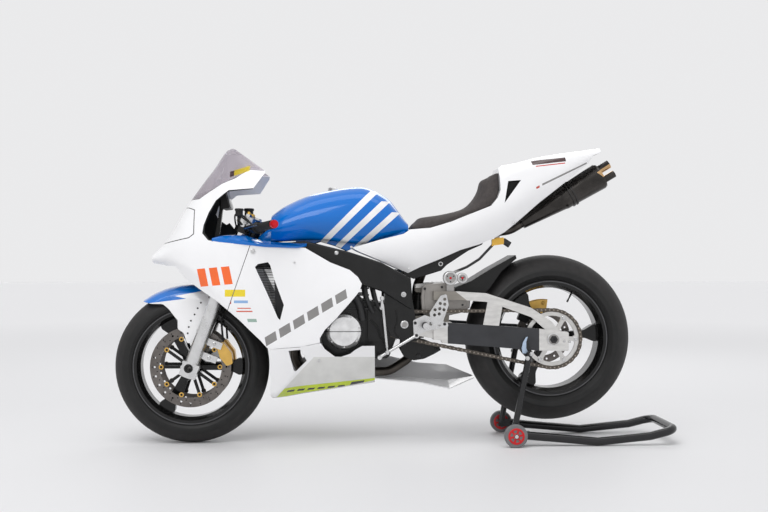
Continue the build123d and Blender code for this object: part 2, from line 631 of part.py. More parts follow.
def swingarm():
    """A braced twin-beam swingarm: casting at the pivot, two beams, curved upper braces and struts."""
    beam = slab([(960, 392), (960, 470), (1150, 458), (1330, 446), (1450, 432), (1450, 360), (1330, 362), (1150, 377)],
                BEAM_INNER, BEAM_OUTER - 4, 6)
    beam = beam - slab([(1262, 300), (1262, 520), (1500, 520), (1500, 300)], 0, CHAIN_LEFT + 12)
    brace = slab([(960, 590), (1034, 588), (1131, 582), (1190, 563), (1305, 526), (1383, 474), (1436, 412), (1400, 392),
                  (1363, 439), (1305, 490), (1189, 532), (1131, 549), (1034, 556), (960, 556)], CHAIN_LEFT + 14, BEAM_OUTER - 4, 8)
    strut = slab([(1119, 455), (1181, 452), (1196, 540), (1138, 550)], CHAIN_LEFT + 16, BEAM_OUTER - 8)
    arm = slab([(800, 432), (800, 492), (930, 496), (1000, 470), (1000, 400), (930, 408)], 90, 118, 8)
    tie = slab([(930, 556), (1034, 556), (1034, TIE_TOP), (930, TIE_TOP)], 60, BEAM_OUTER - 4)
    low_tie = slab([(930, 404), (1000, 400), (1000, 470), (930, 480)], 60, BEAM_OUTER - 4)
    side = arm + beam + brace + strut + tie + low_tie
    whole = side + mirror(side, about=Plane.XZ)
    cross = slab([(924, 420), (920, 600), (934, 622), (978, 622), (1000, 590), (990, 420)], -90, 90, 10)
    for middle in (-SHOCK_EYE_HALF - 6, SHOCK_EYE_HALF + 6):
        cross = cross + slab([(866, 584), (870, 614), (940, 620), (940, 578)], middle - 5.7, middle + 5.7, 8)
    pivot = rod(at(PIVOT[0], -118, PIVOT[1]), at(PIVOT[0], 118, PIVOT[1]), PIVOT_R + 12)
    whole = whole + cross + pivot
    whole = whole - rod(at(PIVOT[0], -200, PIVOT[1]), at(PIVOT[0], 200, PIVOT[1]), PIVOT_R)
    return whole - rod(at(WHEELBASE, -200, REAR_AXLE_UP), at(WHEELBASE, 200, REAR_AXLE_UP), REAR_AXLE_R)


def rear_axle():
    """The rear axle with its nut, head and the stand spools beside it."""
    reach = BEAM_OUTER - 4
    shaft = rod(at(WHEELBASE, -reach, REAR_AXLE_UP), at(WHEELBASE, reach, REAR_AXLE_UP), REAR_AXLE_R, 7)
    for side in (-1, 1):
        washer = rod(at(WHEELBASE, side * reach, REAR_AXLE_UP), at(WHEELBASE, side * (reach + 12), REAR_AXLE_UP), 20, 7)
        shaft = shaft + washer
    return shaft


def shock_absorber():
    """The rear shock: body, spring and upper eye on the centre plane."""
    low = at(*SHOCK_LOW)
    high = at(*SHOCK_HIGH)
    length = (high - low).length
    profile = [(0, 10), (18, 10), (18, 60), (30, 60), (30, length - 52), (20, length - 52), (20, length - 30),
               (12, length - 30), (12, length - 8), (0, length - 8)]
    whole = Plane(origin=low, z_dir=high - low) * turned(profile)
    for end in (low, high):
        whole = whole + rod(end - Vector(0, SHOCK_EYE_HALF, 0), end + Vector(0, SHOCK_EYE_HALF, 0), 14)
    return whole


def engine_block(cavity):
    """The engine as one plain block: crankcase, gearbox and forward-leaning cylinders, with the belly pan's stay."""
    crankcase = slab([(520, 330), (500, 420), (540, 520), (670, 536), (670, 320), (640, 290), (560, 290)],
                     -ENGINE_HALF, ENGINE_HALF, 20)
    gearbox = slab([(640, 330), (640, 560), (760, 540), (790, 500), (786, 400), (760, 330)], -108, GEARBOX_LEFT, 20)
    cylinders = slab([(520, 500), (380, 620), (426, 662), (560, 650), (660, 560), (660, 500)], -ENGINE_HALF, ENGINE_HALF, 10)
    belly_stay = cross_tube((560.0, 334.0, 7.0), 280) & cavity
    return crankcase + gearbox + cylinders + belly_stay


def generator_cover():
    """The round alternator cover low on the left."""
    cover = turned([(0, 0), (69, 0), (69, 34), (64, 46), (54, 52), (0, 55)])
    return cross_plane(588, 439, ENGINE_HALF) * cover


def clutch_cover():
    cover = turned([(0, 0), (88, 0), (88, 40), (82, 52), (70, 58), (0, 61)])
    return cross_plane(650, 430, -ENGINE_HALF) * Rot(180, 0, 0) * cover


def sprocket_cover():
    return slab([(680, 400), (680, 520), (728, 545), (775, 520), (785, 440), (750, 400)], CHAIN_LEFT + 11, PLATE_INNER - SEAT_GAP, 14)


def front_sprocket():
    """The small sprocket on the gearbox output shaft."""
    wheel = sprocket_blank(FRONT_TEETH, first_gap("front"))
    shaft_len = CHAIN_LEFT - GEARBOX_LEFT
    wheel = wheel + Pos(0, 0, -shaft_len / 2) * Cylinder(17, shaft_len)
    return cross_plane(*COUNTERSHAFT, CHAIN_LEFT) * wheel


def radiator():
    """The radiator behind the front wheel, hung from the spars by two brackets."""
    core = slab([(338, 390), (330, 640), (362, 645), (370, 395)], -150, 150, 4)
    tanks = slab([(335, 385), (326, 648), (366, 652), (374, 388)], 150, 172, 8)
    bracket = slab([(338, 636), (338, spar_at(338)[1] - SEAT_GAP), (362, spar_at(362)[1] - SEAT_GAP), (362, 636)], 108, 115)
    side = tanks + bracket
    return core + side + mirror(side, about=Plane.XZ)


def exhaust_pipes():
    """Four header pipes that turn under the engine into one collector and a link pipe to the tail."""
    headers = []
    for left in (-84, -28, 28, 84):
        headers.append(pipe([at(450, left, 560), at(411, left, 514.5), at(398, left, 440), at(400, left, 330),
                             at(430, left * 0.9, EXHAUST_LOW), at(560, left * 0.45, EXHAUST_LOW)], 17, 60))
    collector = slab([(550, EXHAUST_LOW - 18), (550, EXHAUST_LOW + 18), (640, EXHAUST_LOW + 18), (700, EXHAUST_LOW + 14),
                      (700, EXHAUST_LOW - 14), (640, EXHAUST_LOW - 18)], -58, 40, 12)
    lean = math.radians(SILENCER_SLOPE)
    inlet = at(SILENCER_LOW[0], 0, SILENCER_LOW[1])
    before_inlet = inlet - Vector(-math.cos(lean), 0, math.sin(lean)) * 45
    link = pipe([at(690, -20, EXHAUST_LOW), at(770, -40, EXHAUST_LOW), at(868, -62, 330), at(880, -62, 600),
                 at(940, -28, 770), at(1060, -14, 818), at(1180, -4, 818), before_inlet, inlet], LINK_PIPE_R, 90)
    whole = collector + link
    for header in headers:
        whole = whole + header
    return whole


def silencer():
    """The under-tail silencer: a long cone, a band, an oval-ended can and two outlet tubes."""
    lean = math.radians(SILENCER_SLOPE)
    axis = Vector(-math.cos(lean), 0, math.sin(lean))
    base = Plane(origin=at(SILENCER_LOW[0], 0, SILENCER_LOW[1]), x_dir=(math.sin(lean), 0, math.cos(lean)), z_dir=axis)
    profile = [(0, 0), (17, 0), (19, 8), (24, 9), (44, 190), (47, 200), (47, 222), (53, 368), (50, 376), (0, 376)]
    body = base * turned(profile)
    for shift, radius in ((22, 17), (-22, 14)):
        outlet = Pos(shift, 0, 376) * (Cylinder(radius, 52, align=(Align.CENTER, Align.CENTER, Align.MIN)))
        hollow = Pos(shift, 0, 380) * (Cylinder(radius - 2, 60, align=(Align.CENTER, Align.CENTER, Align.MIN)))
        body = body + base * (outlet - hollow)
    return body


# ---- bodywork --------------------------------------------------------------------

FAIRING_TABLE = [
    # behind, then (left, up) of top, shoulder, widest, crease, chine and keel
    (-147, (14, 733), (44, 729), (60, 720), (60, 708), (44, 699), (14, 695)),
    (-96, (30, 787), (70, 768), (98, 735), (98, 712), (80, 692), (30, 684)),
    (-11, (50, 930), (120, 862), (160, 770), (165, 690), (140, 610), (60, 560)),
    (82, (58, 1058), (150, 950), (202, 790), (205, 620), (180, 500), (100, 460)),
    (152, (60, 1143), (184, 990), (222, 770), (222, 560), (200, 400), (120, 330)),
    (320, (70, 1143), (200, 990), (232, 700), (232, 385), (186, 195), (128, 184)),
    (450, (90, 1000), (200, 840), (236, 640), (234, 394), (206, 315), (130, 202)),
    (570, (90, 900), (196, 800), (236, 600), (232, 400), (204, 330), (128, 220)),
    (715, (90, 860), (190, 780), (226, 590), (220, 400), (190, 334), (120, 241)),
]
SCREEN_LINE = [(-160, 934), (-11, 939), (38, 941), (83, 970), (128, 996), (177, 1016), (230, 1050), (290, 1046)]
COCKPIT_EDGE = [(290, 1036), (249, 977), (156, 970), (108, 932), (82, 888), (63, 839), (59, 809), (82, 783), (126, 776), (240, 765)]
SEAM_TOP = (240, 765)
SEAM_LOW = (156, 522)
FRONT_EDGE = [(115, 556), (52, 597), (-11, 640), (-48, 685), (-160, 690)]
LOWER_FRONT_EDGE = [(200, 485), (238, 448), (278, 410), (301, 384)]
PANEL_REAR = [(310, 760), (443, 755), (536, 701), (610, 672), (640, 646), (655, 620), (647, 594), (632, 575), (610, 549),
              (554, 486), (517, 449), (499, 419), (499, 401)]
CREASE_LINE = [(425, 386), (312, 378)]
BELLY_REAR = [(502, 401), (517, 378), (554, 349), (577, 348), (610, 359), (629, 374), (655, 389), (703, 389), (707, 240)]
BELLY_TAIL = [
    # behind, then (left, up) of keel, chine and upper edge, inside the wall
    (695, (-20, 242), (-119, 243.5), (-187, 335)),
    (890, (-20, 223), (-112, 230), (-176, 290)),
    (1007, (-20, 198), (-100, 222), (-160, 283)),
    (1107, (-60, 236), (-95, 238), (-120, 244)),
]
BELLY_BOTTOM = [(649, 233), (535, 214), (421, 196), (323, 180), (312, 200)]


def fairing_inside(depth):
    """What lies inside the fairing's outer surface by the depth given."""
    stations = [(row[0] + (depth if row[0] < 0 else 0), list(row[1:])) for row in FAIRING_TABLE]
    return lofted(stations, 22, depth)


def fairing_shell():
    """The whole hollow fairing, before it is split into panels."""
    stations = [(row[0], list(row[1:])) for row in FAIRING_TABLE]
    return lofted(stations, 26) - fairing_inside(FAIRING_WALL)


def half_space(left_side):
    reach = 400
    middle = reach / 2 if left_side else -reach / 2
    return Pos(0, middle, 700) * Box(4000, reach, 1600)


def windscreen(shell):
    """The double-bubble screen above the fairing's upper edge."""
    return shell & slab(SCREEN_LINE + [(152, 1150), (-160, 1200)], -300, 300)


def upper_fairing(shell):
    """The nose with its number board, down to the seam with the side panels."""
    edge = SCREEN_LINE + COCKPIT_EDGE + [SEAM_LOW] + FRONT_EDGE
    return shell & slab(edge, -300, 300)


def side_panel(shell, left_side):
    """One side panel with its slanted vent, round the front of the engine."""
    edge = [SEAM_LOW, SEAM_TOP] + PANEL_REAR + CREASE_LINE + list(reversed(LOWER_FRONT_EDGE))
    panel = shell & slab(edge, -300, 300) & half_space(left_side)
    vent = slab([(258, 683), (269, 694), (306, 701), (314, 690), (328, 642), (365, 542), (351, 486), (343, 494), (306, 579)],
                -300, 300, 4)
    return panel - vent


def belly_tail():
    """The belly pan's right side, which runs on under the swingarm as an open scoop."""
    rings = []
    for behind, keel, chine, edge in BELLY_TAIL:
        inner = [(edge[0] + FAIRING_WALL, edge[1]), (chine[0] + FAIRING_WALL * 0.6, chine[1] + FAIRING_WALL),
                 (keel[0], keel[1] + FAIRING_WALL)]
        rings.append(Wire(Polyline(*[at(behind, left, up) for left, up in [keel, chine, edge] + inner], close=True).edges()))
    return Solid.make_loft(rings, True)


def belly_pan(shell):
    """The belly pan under the engine, with a small vent each side and its longer right side."""
    edge = [(499, 401)] + BELLY_REAR + BELLY_BOTTOM + [(312, 378), (425, 386)]
    pan = shell & slab(edge, -300, 300)
    vent = slab([(382, 372), (425, 376), (449, 334), (408, 293), (401, 297)], 150, 300, 4)
    return pan - vent - mirror(vent, about=Plane.XZ) + belly_tail()


TANK_TABLE = [
    # behind, then (left, up) of top, shoulder, side and foot
    (310, (50, 882), (96, 866), (120, 832), (104, 778)),
    (358, (60, 916), (120, 886), (146, 836), (124, 781)),
    (495, (72, 970), (138, 932), (162, 856), (128, 785)),
    (652, (74, 992), (140, 950), (160, 860), (120, 770)),
    (750, (66, 954), (124, 916), (142, 850), (112, 795)),
    (836, (50, 850), (84, 846), (100, 830), (96, 812)),
]


def fuel_tank():
    """The fuel tank, broad at the front and narrow between the knees."""
    return lofted([(row[0], list(row[1:])) for row in TANK_TABLE], 30)


def cockpit_covers(cavity):
    """The covers along the side panels' upper edges, from the nose back past the tank's front."""
    cover = slab([(90, 779), (240, 768), (300, 759), (400, 753), (400, 760), (330, 767), (226, 783), (130, 786)], 176, 280, 3)
    return Compound(both_sides(cover & cavity))


TAIL_TABLE = [
    # behind, then (left, up) of top, shoulder, widest, lower and bottom
    (616, (60, 1200), (162, 800), (178, 770), (178, 720), (60, 560)),
    (840, (60, 1200), (118, 850), (138, 790), (134, 720), (60, 560)),
    (1000, (60, 1200), (116, 900), (140, 830), (128, 760), (60, 600)),
    (1190, (50, 1080), (108, 1040), (134, 900), (118, 830), (60, 700)),
    (1400, (44, 1124), (88, 1104), (104, 1040), (92, 960), (50, 880)),
    (1592, (30, 1148), (52, 1142), (60, 1132), (52, 1112), (30, 1080)),
]
PAN_LINE = [(842, 826), (919, 832), (997, 855), (1074, 886), (1152, 917), (1178, 948), (1190, 979), (1187, 1066)]
TAIL_TOP = [(1225, 1090), (1285, 1100), (1444, 1125), (1592, 1147), (1592, 1128)]
TAIL_LOW = [(1562, 1118), (1539, 1084), (1441, 1006), (1344, 932), (1255, 855), (1208, 817), (1181, 801), (1111, 770),
            (1034, 747), (957, 713), (880, 682), (834, 659), (803, 672), (726, 707), (642, 742), (619, 755)]
TAIL_FORE = [(725, 786), (782, 800), (816, 809)]


PAN_SHIFT = 3.0               # how far the pan's inner line lies behind its outer one


def pan_under(behind):
    """The height of the seat pan's underside, where it lies so far behind the axle."""
    for near, far in zip(PAN_LINE, PAN_LINE[1:]):
        if behind - PAN_SHIFT <= far[0]:
            part = (behind - PAN_SHIFT - near[0]) / (far[0] - near[0])
            return near[1] + (far[1] - near[1]) * part - FAIRING_WALL


def tail_unit():
    """The single-seat tail with its pan, hump and side arms, open underneath."""
    stations = [(row[0], list(row[1:])) for row in TAIL_TABLE]
    edge = TAIL_FORE + PAN_LINE + TAIL_TOP + TAIL_LOW
    outer = lofted(stations, 24) & slab(edge, -200, 200)
    hollow_edge = [(600, 700), (600, 900), (830, 900), (842, 822)]
    hollow_edge += [(behind + PAN_SHIFT, up - FAIRING_WALL) for behind, up in PAN_LINE[1:]]
    hollow_edge += [(behind - 3, up - FAIRING_WALL) for behind, up in TAIL_TOP[:-1]] + [(1588, 900), (1400, 500), (600, 500)]
    hollow = lofted(stations, 20, FAIRING_WALL) & slab(hollow_edge, -200, 200)
    vent = slab([(1220, 1013), (1270, 1017), (1204, 928)], -200, 200, 3)
    return outer - hollow - vent


def seat_pad():
    """The thin racing seat pad, with its raised back against the hump."""
    low = [(behind - 0.4, up + SEAT_GAP + 0.2) for behind, up in PAN_LINE]
    top = [(1158, 1040), (1126, 1017), (1114, 977), (1086, 934), (1047, 906), (967, 886), (888, 874), (861, 858)]
    return slab(low[1:-1] + [(1186, 1050)] + top, -96, 96, 6)


def rear_hugger():
    """The short hugger over the front of the rear tyre."""
    seat = TIE_TOP + SEAT_GAP
    outer = slab([(1016, seat), (1018, 604), (1079, 628), (1157, 676), (1251, 728), (1255, 715), (1196, 665), (1150, 600),
                  (1120, 570), (1044, 570), (1036, seat)], -99, 99)
    hollow = cross_plane(*REAR_AXLE) * Cylinder(REAR_TYRE_R + 8, 2 * 96)
    return outer - hollow


def subframe():
    """The tail frame: rails each side joined by cross tubes, its lugs round the frame's own, and posts under the pan."""
    parts = None
    for start, end in (((800, 655), (1085, 780)), ((880, 690), (1080, 765)), ((1085, 780), (1240, 870))):
        rail = rod(at(start[0], 86, start[1]), at(end[0], 70, end[1]), 13)
        parts = rail if parts is None else parts + rail
    whole = parts + mirror(parts, about=Plane.XZ)
    middle = (TAIL_POST[0] + TAIL_POST[1]) / 2
    whole = whole + cross_tube((830, 668, 10), 80) + cross_tube((middle, 780, 10), 80)
    lug = slab([(748, 622), (748, 658), (800, 674), (812, 650), (786, 622)], 79, 93, 8)
    post = slab([(TAIL_POST[0], 780), (TAIL_POST[0], pan_under(TAIL_POST[0]) - SEAT_GAP),
                 (TAIL_POST[1], pan_under(TAIL_POST[1]) - SEAT_GAP), (TAIL_POST[1], 780)], 46, 60)
    whole = whole + both_sides(lug + post)
    return whole - cross_tube((ENGINE_CROSS[0], ENGINE_CROSS[1], ENGINE_CROSS[2] + SEAT_GAP), 140)


def instrument_panel():
    """The dash unit, against its stay behind the nose."""
    return slab([(118, 905), (112, 985), (128, 990), (150, 908)], -78, 78, 5)


def rearset(left_side):
    """A footrest hanger on the pivot plate, with its peg, perforated heel guard and pedal; on the left, the shift rod."""
    plate = slab([(853, 414), (850, 480), (894, 500), (982, 470), (985, 455), (900, 440)], PLATE_OUTER, PLATE_OUTER + 9, 8)
    plate = plate - rod(at(918, 0, 467), at(918, 200, 467), 7) - rod(at(950, 0, 462), at(950, 200, 462), 5)
    guard = slab([(921, 463), (913, 508), (955, 573), (978, 580), (986, 538), (967, 482), (963, 463)],
                 PLATE_OUTER, PLATE_OUTER + 4, 6)
    for behind, up in ((932, 500), (934, 520), (950, 504), (952, 524), (968, 520), (954, 544), (971, 541), (971, 560)):
        guard = guard - rod(at(behind, 0, up), at(behind, 200, up), 6)
    peg = rod(at(894, PLATE_OUTER + 9, 462), at(894, PLATE_OUTER + 88, 462), 12)
    pivot = rod(at(PEDAL_PIVOT[0], PLATE_OUTER, PEDAL_PIVOT[1]), at(PEDAL_PIVOT[0], PEDAL_LEFT + 5, PEDAL_PIVOT[1]), 11)
    pedal = rod(at(PEDAL_PIVOT[0], PEDAL_LEFT, PEDAL_PIVOT[1]), at(PEDAL_TOE[0], PEDAL_LEFT, PEDAL_TOE[1]), 6)
    toe = rod(at(PEDAL_TOE[0], PEDAL_LEFT - 8, PEDAL_TOE[1]), at(PEDAL_TOE[0], PEDAL_LEFT + 28, PEDAL_TOE[1]), 8)
    unit = plate + guard + peg + pivot + pedal + toe
    if not left_side:
        return mirror(unit, about=Plane.XZ)
    rod_foot = at(752, PEDAL_LEFT + 5, 360)
    rod_head = at(732, PEDAL_LEFT + 5, 564)
    shaft = rod(at(730, PLATE_INNER, 528), at(730, PEDAL_LEFT + 5, 528), 7)
    return unit + rod(rod_foot, rod_head, 3.5) + rod(at(730, PEDAL_LEFT + 5, 528), rod_head, 5) + shaft


def shock_reservoirs():
    """The rear shock's two reservoirs on the swingarm's tie, with the hose to the preload adjuster under the seat."""
    base = BEAM_INNER + 4
    large = rod(at(995, base, 640), at(995, base + 34, 640), 27)
    small = rod(at(1041, base + 4, 640), at(1041, base + 30, 640), 20)
    foot = slab([(982, TIE_TOP + SEAT_GAP), (1010, TIE_TOP + SEAT_GAP), (1010, 625), (982, 625)], base + 2, base + 14)
    block = slab([(1160, 764), (1160, 789), (1206, 797), (1206, 770)], 78, 96, 4)
    bracket = slab([(1172, 780), (1172, 814.5), (1192, 826), (1192, 786)], 74, 80)
    knob = rod(at(1204, 87, 784), at(1230, 87, 767), 12)
    hose = pipe([at(1010, base + 16, 662), at(1060, base + 12, 682), at(1110, 98, 712), at(1172, 88, 776)], 5, 40)
    return large + small + foot + hose + block + bracket + knob


def link_face(pin, next_pin, beyond, half_high, corner):
    """A link's side plate between two pins: a bar that goes beyond them, its ends cut to a blunt point."""
    a = at(pin[0], 0, pin[1])
    b = at(next_pin[0], 0, next_pin[1])
    ahead = (b - a).normalized()
    across = ahead.cross(Vector(0, 1, 0)) * half_high
    if corner:
        return make_face(Polyline(a - ahead * beyond, a + across, b + across, b + ahead * beyond, b - across, a - across, close=True))
    return make_face(Polyline(a + across, b + across, b - across, a - across, close=True))


def clears_teeth(pin):
    """Whether a solid link at this pin stays outside both sprockets' teeth."""
    for centre, teeth in ((COUNTERSHAFT, FRONT_TEETH), (REAR_AXLE, REAR_TEETH)):
        away = math.hypot(pin[0] - centre[0], pin[1] - centre[1])
        if away < pitch_radius(teeth) + TOOTH_TIP + 2 * ROLLER_R:
            return False
    return True


def roller_clear(pin):
    """Whether a roller at this pin stays outside the rear sprocket's teeth, which turn past the chain."""
    away = math.hypot(pin[0] - REAR_AXLE[0], pin[1] - REAR_AXLE[1])
    return away > pitch_radius(REAR_TEETH) + TOOTH_TIP + ROLLER_R + 1


def drive_chain():
    """The roller chain: outer and inner links in turn, with rollers wherever the rear sprocket's teeth don't pass."""
    pins = chain_pins()
    outer_plate = INNER_PLATE + LINK_PLATE
    pieces = []
    for i in range(CHAIN_PITCHES):
        pin, next_pin = pins[i], pins[(i + 1) % CHAIN_PITCHES]
        if i % 2 == 0:
            face = link_face(pin, next_pin, LINK_HALF_HIGH + 1, LINK_HALF_HIGH, True)
            for start in (-outer_plate - LINK_PLATE, outer_plate):
                pieces.append(Pos(0, CHAIN_LEFT + start, 0) * extrude(face, amount=LINK_PLATE, dir=(0, 1, 0)))
        elif clears_teeth(pin) and clears_teeth(next_pin):
            face = link_face(pin, next_pin, 0, LINK_HALF_HIGH - 1, False)
            pieces.append(Pos(0, CHAIN_LEFT - outer_plate, 0) * extrude(face, amount=2 * outer_plate, dir=(0, 1, 0)))
        else:
            face = link_face(pin, next_pin, 0, LINK_HALF_HIGH - 1, False)
            for start in (-outer_plate, INNER_PLATE):
                pieces.append(Pos(0, CHAIN_LEFT + start, 0) * extrude(face, amount=LINK_PLATE, dir=(0, 1, 0)))
            for end in (pin, next_pin):
                if roller_clear(end):
                    roller = extrude(RegularPolygon(ROLLER_R, 6), amount=INNER_PLATE, both=True)
                    pieces.append(cross_plane(end[0], end[1], CHAIN_LEFT) * roller)
    return pieces[0].fuse(*pieces[1:])


def rear_caliper():
    """The rear caliper over the disc on the right, on a bracket round the axle against the swingarm."""
    body = slab([(1285, 470), (1300, 505), (1345, 520), (1350, 480), (1320, 455)], -REAR_DISC_RIGHT - 13, -REAR_DISC_RIGHT + 13, 6)
    slot = cross_plane(*REAR_AXLE, -REAR_DISC_RIGHT) * Cylinder(REAR_DISC_R + RUNNING_GAP, 16)
    bracket_near = REAR_DISC_RIGHT + REAR_DISC_THICK / 2 + RUNNING_GAP
    bracket = slab([(1372, 380), (1410, 380), (1414, 424), (1388, 440), (1346, 505), (1300, 500), (1292, 474), (1340, 446)],
                   -BEAM_INNER + SEAT_GAP, -bracket_near, 8)
    bracket = bracket - rod(at(WHEELBASE, -200, REAR_AXLE_UP), at(WHEELBASE, 0, REAR_AXLE_UP), REAR_AXLE_R + SEAT_GAP)
    return (body - slot) + bracket


# ---- paddock stand -------------------------------------------------------------------

def paddock_stand():
    """A rear paddock stand: U-shaped lever, two uprights with cradles for the swingarm, and wheel stubs."""
    wheel_s, wheel_z = STAND_WHEEL
    end = STAND_END - STAND_TUBE_R
    side_points = [(1272, 42), (1557, STAND_TUBE_R), (1760, 36), (end, 60)]
    path = [at(behind, STAND_TUBE_LEFT, up) for behind, up in side_points]
    path += [at(behind, -STAND_TUBE_LEFT, up) for behind, up in reversed(side_points)]
    whole = pipe(path, STAND_TUBE_R, 60)
    foot = at(wheel_s - 4, STAND_TUBE_LEFT, wheel_z)
    head = at(CRADLE[0], STAND_TUBE_LEFT, CRADLE[1])
    stub = rod(at(wheel_s, STAND_TUBE_LEFT - 12, wheel_z), at(wheel_s, STAND_HALF + 17, wheel_z), STUB_R)
    plate = slab([(1222, 30), (1222, 60), (1296, 58), (1296, 26)], STAND_TUBE_LEFT - 8, STAND_TUBE_LEFT + 8, 4)
    pad = rod(at(CRADLE[0], CHAIN_LEFT + 12, CRADLE[1]), at(CRADLE[0], STAND_TUBE_LEFT + 10, CRADLE[1]), CRADLE_R)
    blade = slab([(1279, 346), (1277, 418), (1290, 400), (1300, 372), (1310, 350)], BEAM_OUTER, BEAM_OUTER + 6, 3)
    side = rod(foot, head, 12) + stub + plate + pad + blade
    return whole + side + mirror(side, about=Plane.XZ)


def stand_wheel(side):
    """One small wheel of the paddock stand, with its solid tyre."""
    wheel = turned([(STUB_R + FIT, -12), (STAND_WHEEL_R - 3, -12), (STAND_WHEEL_R, -9), (STAND_WHEEL_R, 9), (STAND_WHEEL_R - 3, 12),
                    (STUB_R + FIT, 12)])
    return cross_plane(*STAND_WHEEL, side * STAND_HALF) * wheel


# ---- writing the nodes ------------------------------------------------------------------

def write_nodes():
    shell = fairing_shell()
    cavity = fairing_inside(FAIRING_WALL + SEAT_GAP)
    nodes = {
        "front_tyre": front_tyre(),
        "front_rim": front_rim(),
        "front_discs": front_discs(),
        "rear_tyre": rear_tyre(),
        "rear_rim": rear_rim(),
        "rear_disc": rear_disc(),
        "rear_sprocket": rear_sprocket(),
        "fork_sliders": fork_sliders(),
        "fork_stanchions": fork_stanchions(),
        "fork_clamps": fork_clamps(),
        "handlebars": handlebars(),
        "grips": grips(),
        "bar_ends": bar_ends(),
        "hand_controls": hand_controls(),
        "front_axle": front_axle(),
        "front_calipers": front_calipers(),
        "front_fender": front_fender(),
        "brake_hoses": brake_hoses(),
        "frame": frame(cavity),
        "pivot_shaft": pivot_shaft(),
        "swingarm": swingarm(),
        "rear_axle": rear_axle(),
        "shock_absorber": shock_absorber(),
        "shock_reservoirs": shock_reservoirs(),
        "engine_block": engine_block(cavity),
        "generator_cover": generator_cover(),
        "clutch_cover": clutch_cover(),
        "sprocket_cover": sprocket_cover(),
        "front_sprocket": front_sprocket(),
        "radiator": radiator(),
        "exhaust_pipes": exhaust_pipes(),
        "silencer": silencer(),
        "windscreen": windscreen(shell),
        "upper_fairing": upper_fairing(shell),
        "side_panel_left": side_panel(shell, True),
        "side_panel_right": side_panel(shell, False),
        "belly_pan": belly_pan(shell),
        "fuel_tank": fuel_tank(),
        "cockpit_covers": cockpit_covers(cavity),
        "tail_unit": tail_unit(),
        "seat_pad": seat_pad(),
        "rear_hugger": rear_hugger(),
        "subframe": subframe(),
        "instrument_panel": instrument_panel(),
        "rearset_left": rearset(True),
        "rearset_right": rearset(False),
        "drive_chain": drive_chain(),
        "rear_caliper": rear_caliper(),
        "paddock_stand": paddock_stand(),
        "stand_wheel_left": stand_wheel(1),
        "stand_wheel_right": stand_wheel(-1),
    }
    os.makedirs("parts", exist_ok=True)
    for name, solid in nodes.items():
        export_step(solid, f"parts/{name}.step")


write_nodes()
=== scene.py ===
import json
import math

import bmesh
import bpy
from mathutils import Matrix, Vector


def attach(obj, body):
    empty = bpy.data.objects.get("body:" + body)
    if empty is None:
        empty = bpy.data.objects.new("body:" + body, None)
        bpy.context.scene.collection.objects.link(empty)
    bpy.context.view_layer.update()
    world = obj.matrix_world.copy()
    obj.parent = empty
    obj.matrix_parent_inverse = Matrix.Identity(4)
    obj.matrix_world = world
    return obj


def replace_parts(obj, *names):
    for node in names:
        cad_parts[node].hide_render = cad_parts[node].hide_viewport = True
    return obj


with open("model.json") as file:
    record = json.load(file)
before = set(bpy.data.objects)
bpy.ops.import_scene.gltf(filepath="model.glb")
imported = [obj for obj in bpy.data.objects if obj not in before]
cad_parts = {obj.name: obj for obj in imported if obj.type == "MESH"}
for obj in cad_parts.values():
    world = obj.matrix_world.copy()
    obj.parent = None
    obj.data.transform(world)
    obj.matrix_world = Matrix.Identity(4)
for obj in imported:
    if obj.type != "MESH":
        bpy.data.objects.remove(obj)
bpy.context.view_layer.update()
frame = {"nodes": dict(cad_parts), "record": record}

# The frame is in metres: +X forward, +Y to the rider's left, +Z up. The tables below are in
# millimetres: how far behind the front axle, how far left of centre and how high.
FRONT_AXLE_X = 0.7875
FRONT_HUB = (0, 298)
REAR_HUB = (1390, 405)
STAND_HUB = (1237, 44)
COUNTERSHAFT = (728, 469)
HEAD_LEAN = math.radians(20.6)
STEM_LEAD = 34.4                      # from the front axle to the steering axis

CAMERA_BEHIND = 0.558
CAMERA_LEFT = 4.321
CAMERA_UP = 0.711
CAMERA_YAW = math.radians(2.498)      # turned toward the rear wheel
CAMERA_PITCH = math.radians(0.18)     # tipped up
FOCAL_PIXELS = 1100
FRAME_PIXELS = 768
SENSOR = 36.0

WHITE = (0.86, 0.86, 0.87)
BLUE = (0.0, 0.150, 0.56)
FLOOR_NEAR, FLOOR_FAR = (0.74, 0.74, 0.75), (0.96, 0.96, 0.97)
FLOOR_REACH = (2.0, 9.0)              # metres from the middle, from the near tone to the far one
RUBBER = (0.019, 0.018, 0.018)

LEFT = Vector((0, 1, 0))
RIGHT = Vector((0, -1, 0))
UP = Vector((0, 0, 1))
SIDES = ((1, LEFT), (-1, RIGHT))
SLOTS = {part["node"]: part["material_slot"] for part in frame["record"]["subparts"]}
MATERIALS = {}


def at(behind, left, up):
    """A point from millimetres behind the front axle, left of centre and above the floor."""
    return Vector((FRONT_AXLE_X - behind / 1000, left / 1000, up / 1000))


def placed(points, sign=1):
    """Points of (behind, left, up), as they are or mirrored to the right."""
    return [at(behind, sign * left, up) for behind, left, up in points]


def linked(name, data):
    """A new object of the scene."""
    thing = bpy.data.objects.new(name, data)
    bpy.context.collection.objects.link(thing)
    return thing


# ---- shader nodes -----------------------------------------------------------------

def put(tree, kind, feeds, **properties):
    """A new shader node; feeds gives each input a value or the socket that it comes from."""
    node = tree.nodes.new("ShaderNode" + kind)
    for name, value in properties.items():
        setattr(node, name, value)
    for name, value in feeds.items():
        if isinstance(value, bpy.types.NodeSocket):
            tree.links.new(value, node.inputs[name])
        else:
            node.inputs[name].default_value = value
    return node


def joined(tree, operation, first, second):
    return put(tree, "Math", {0: first, 1: second}, operation=operation).outputs[0]


def object_place(tree):
    return put(tree, "TexCoord", {}).outputs["Object"]


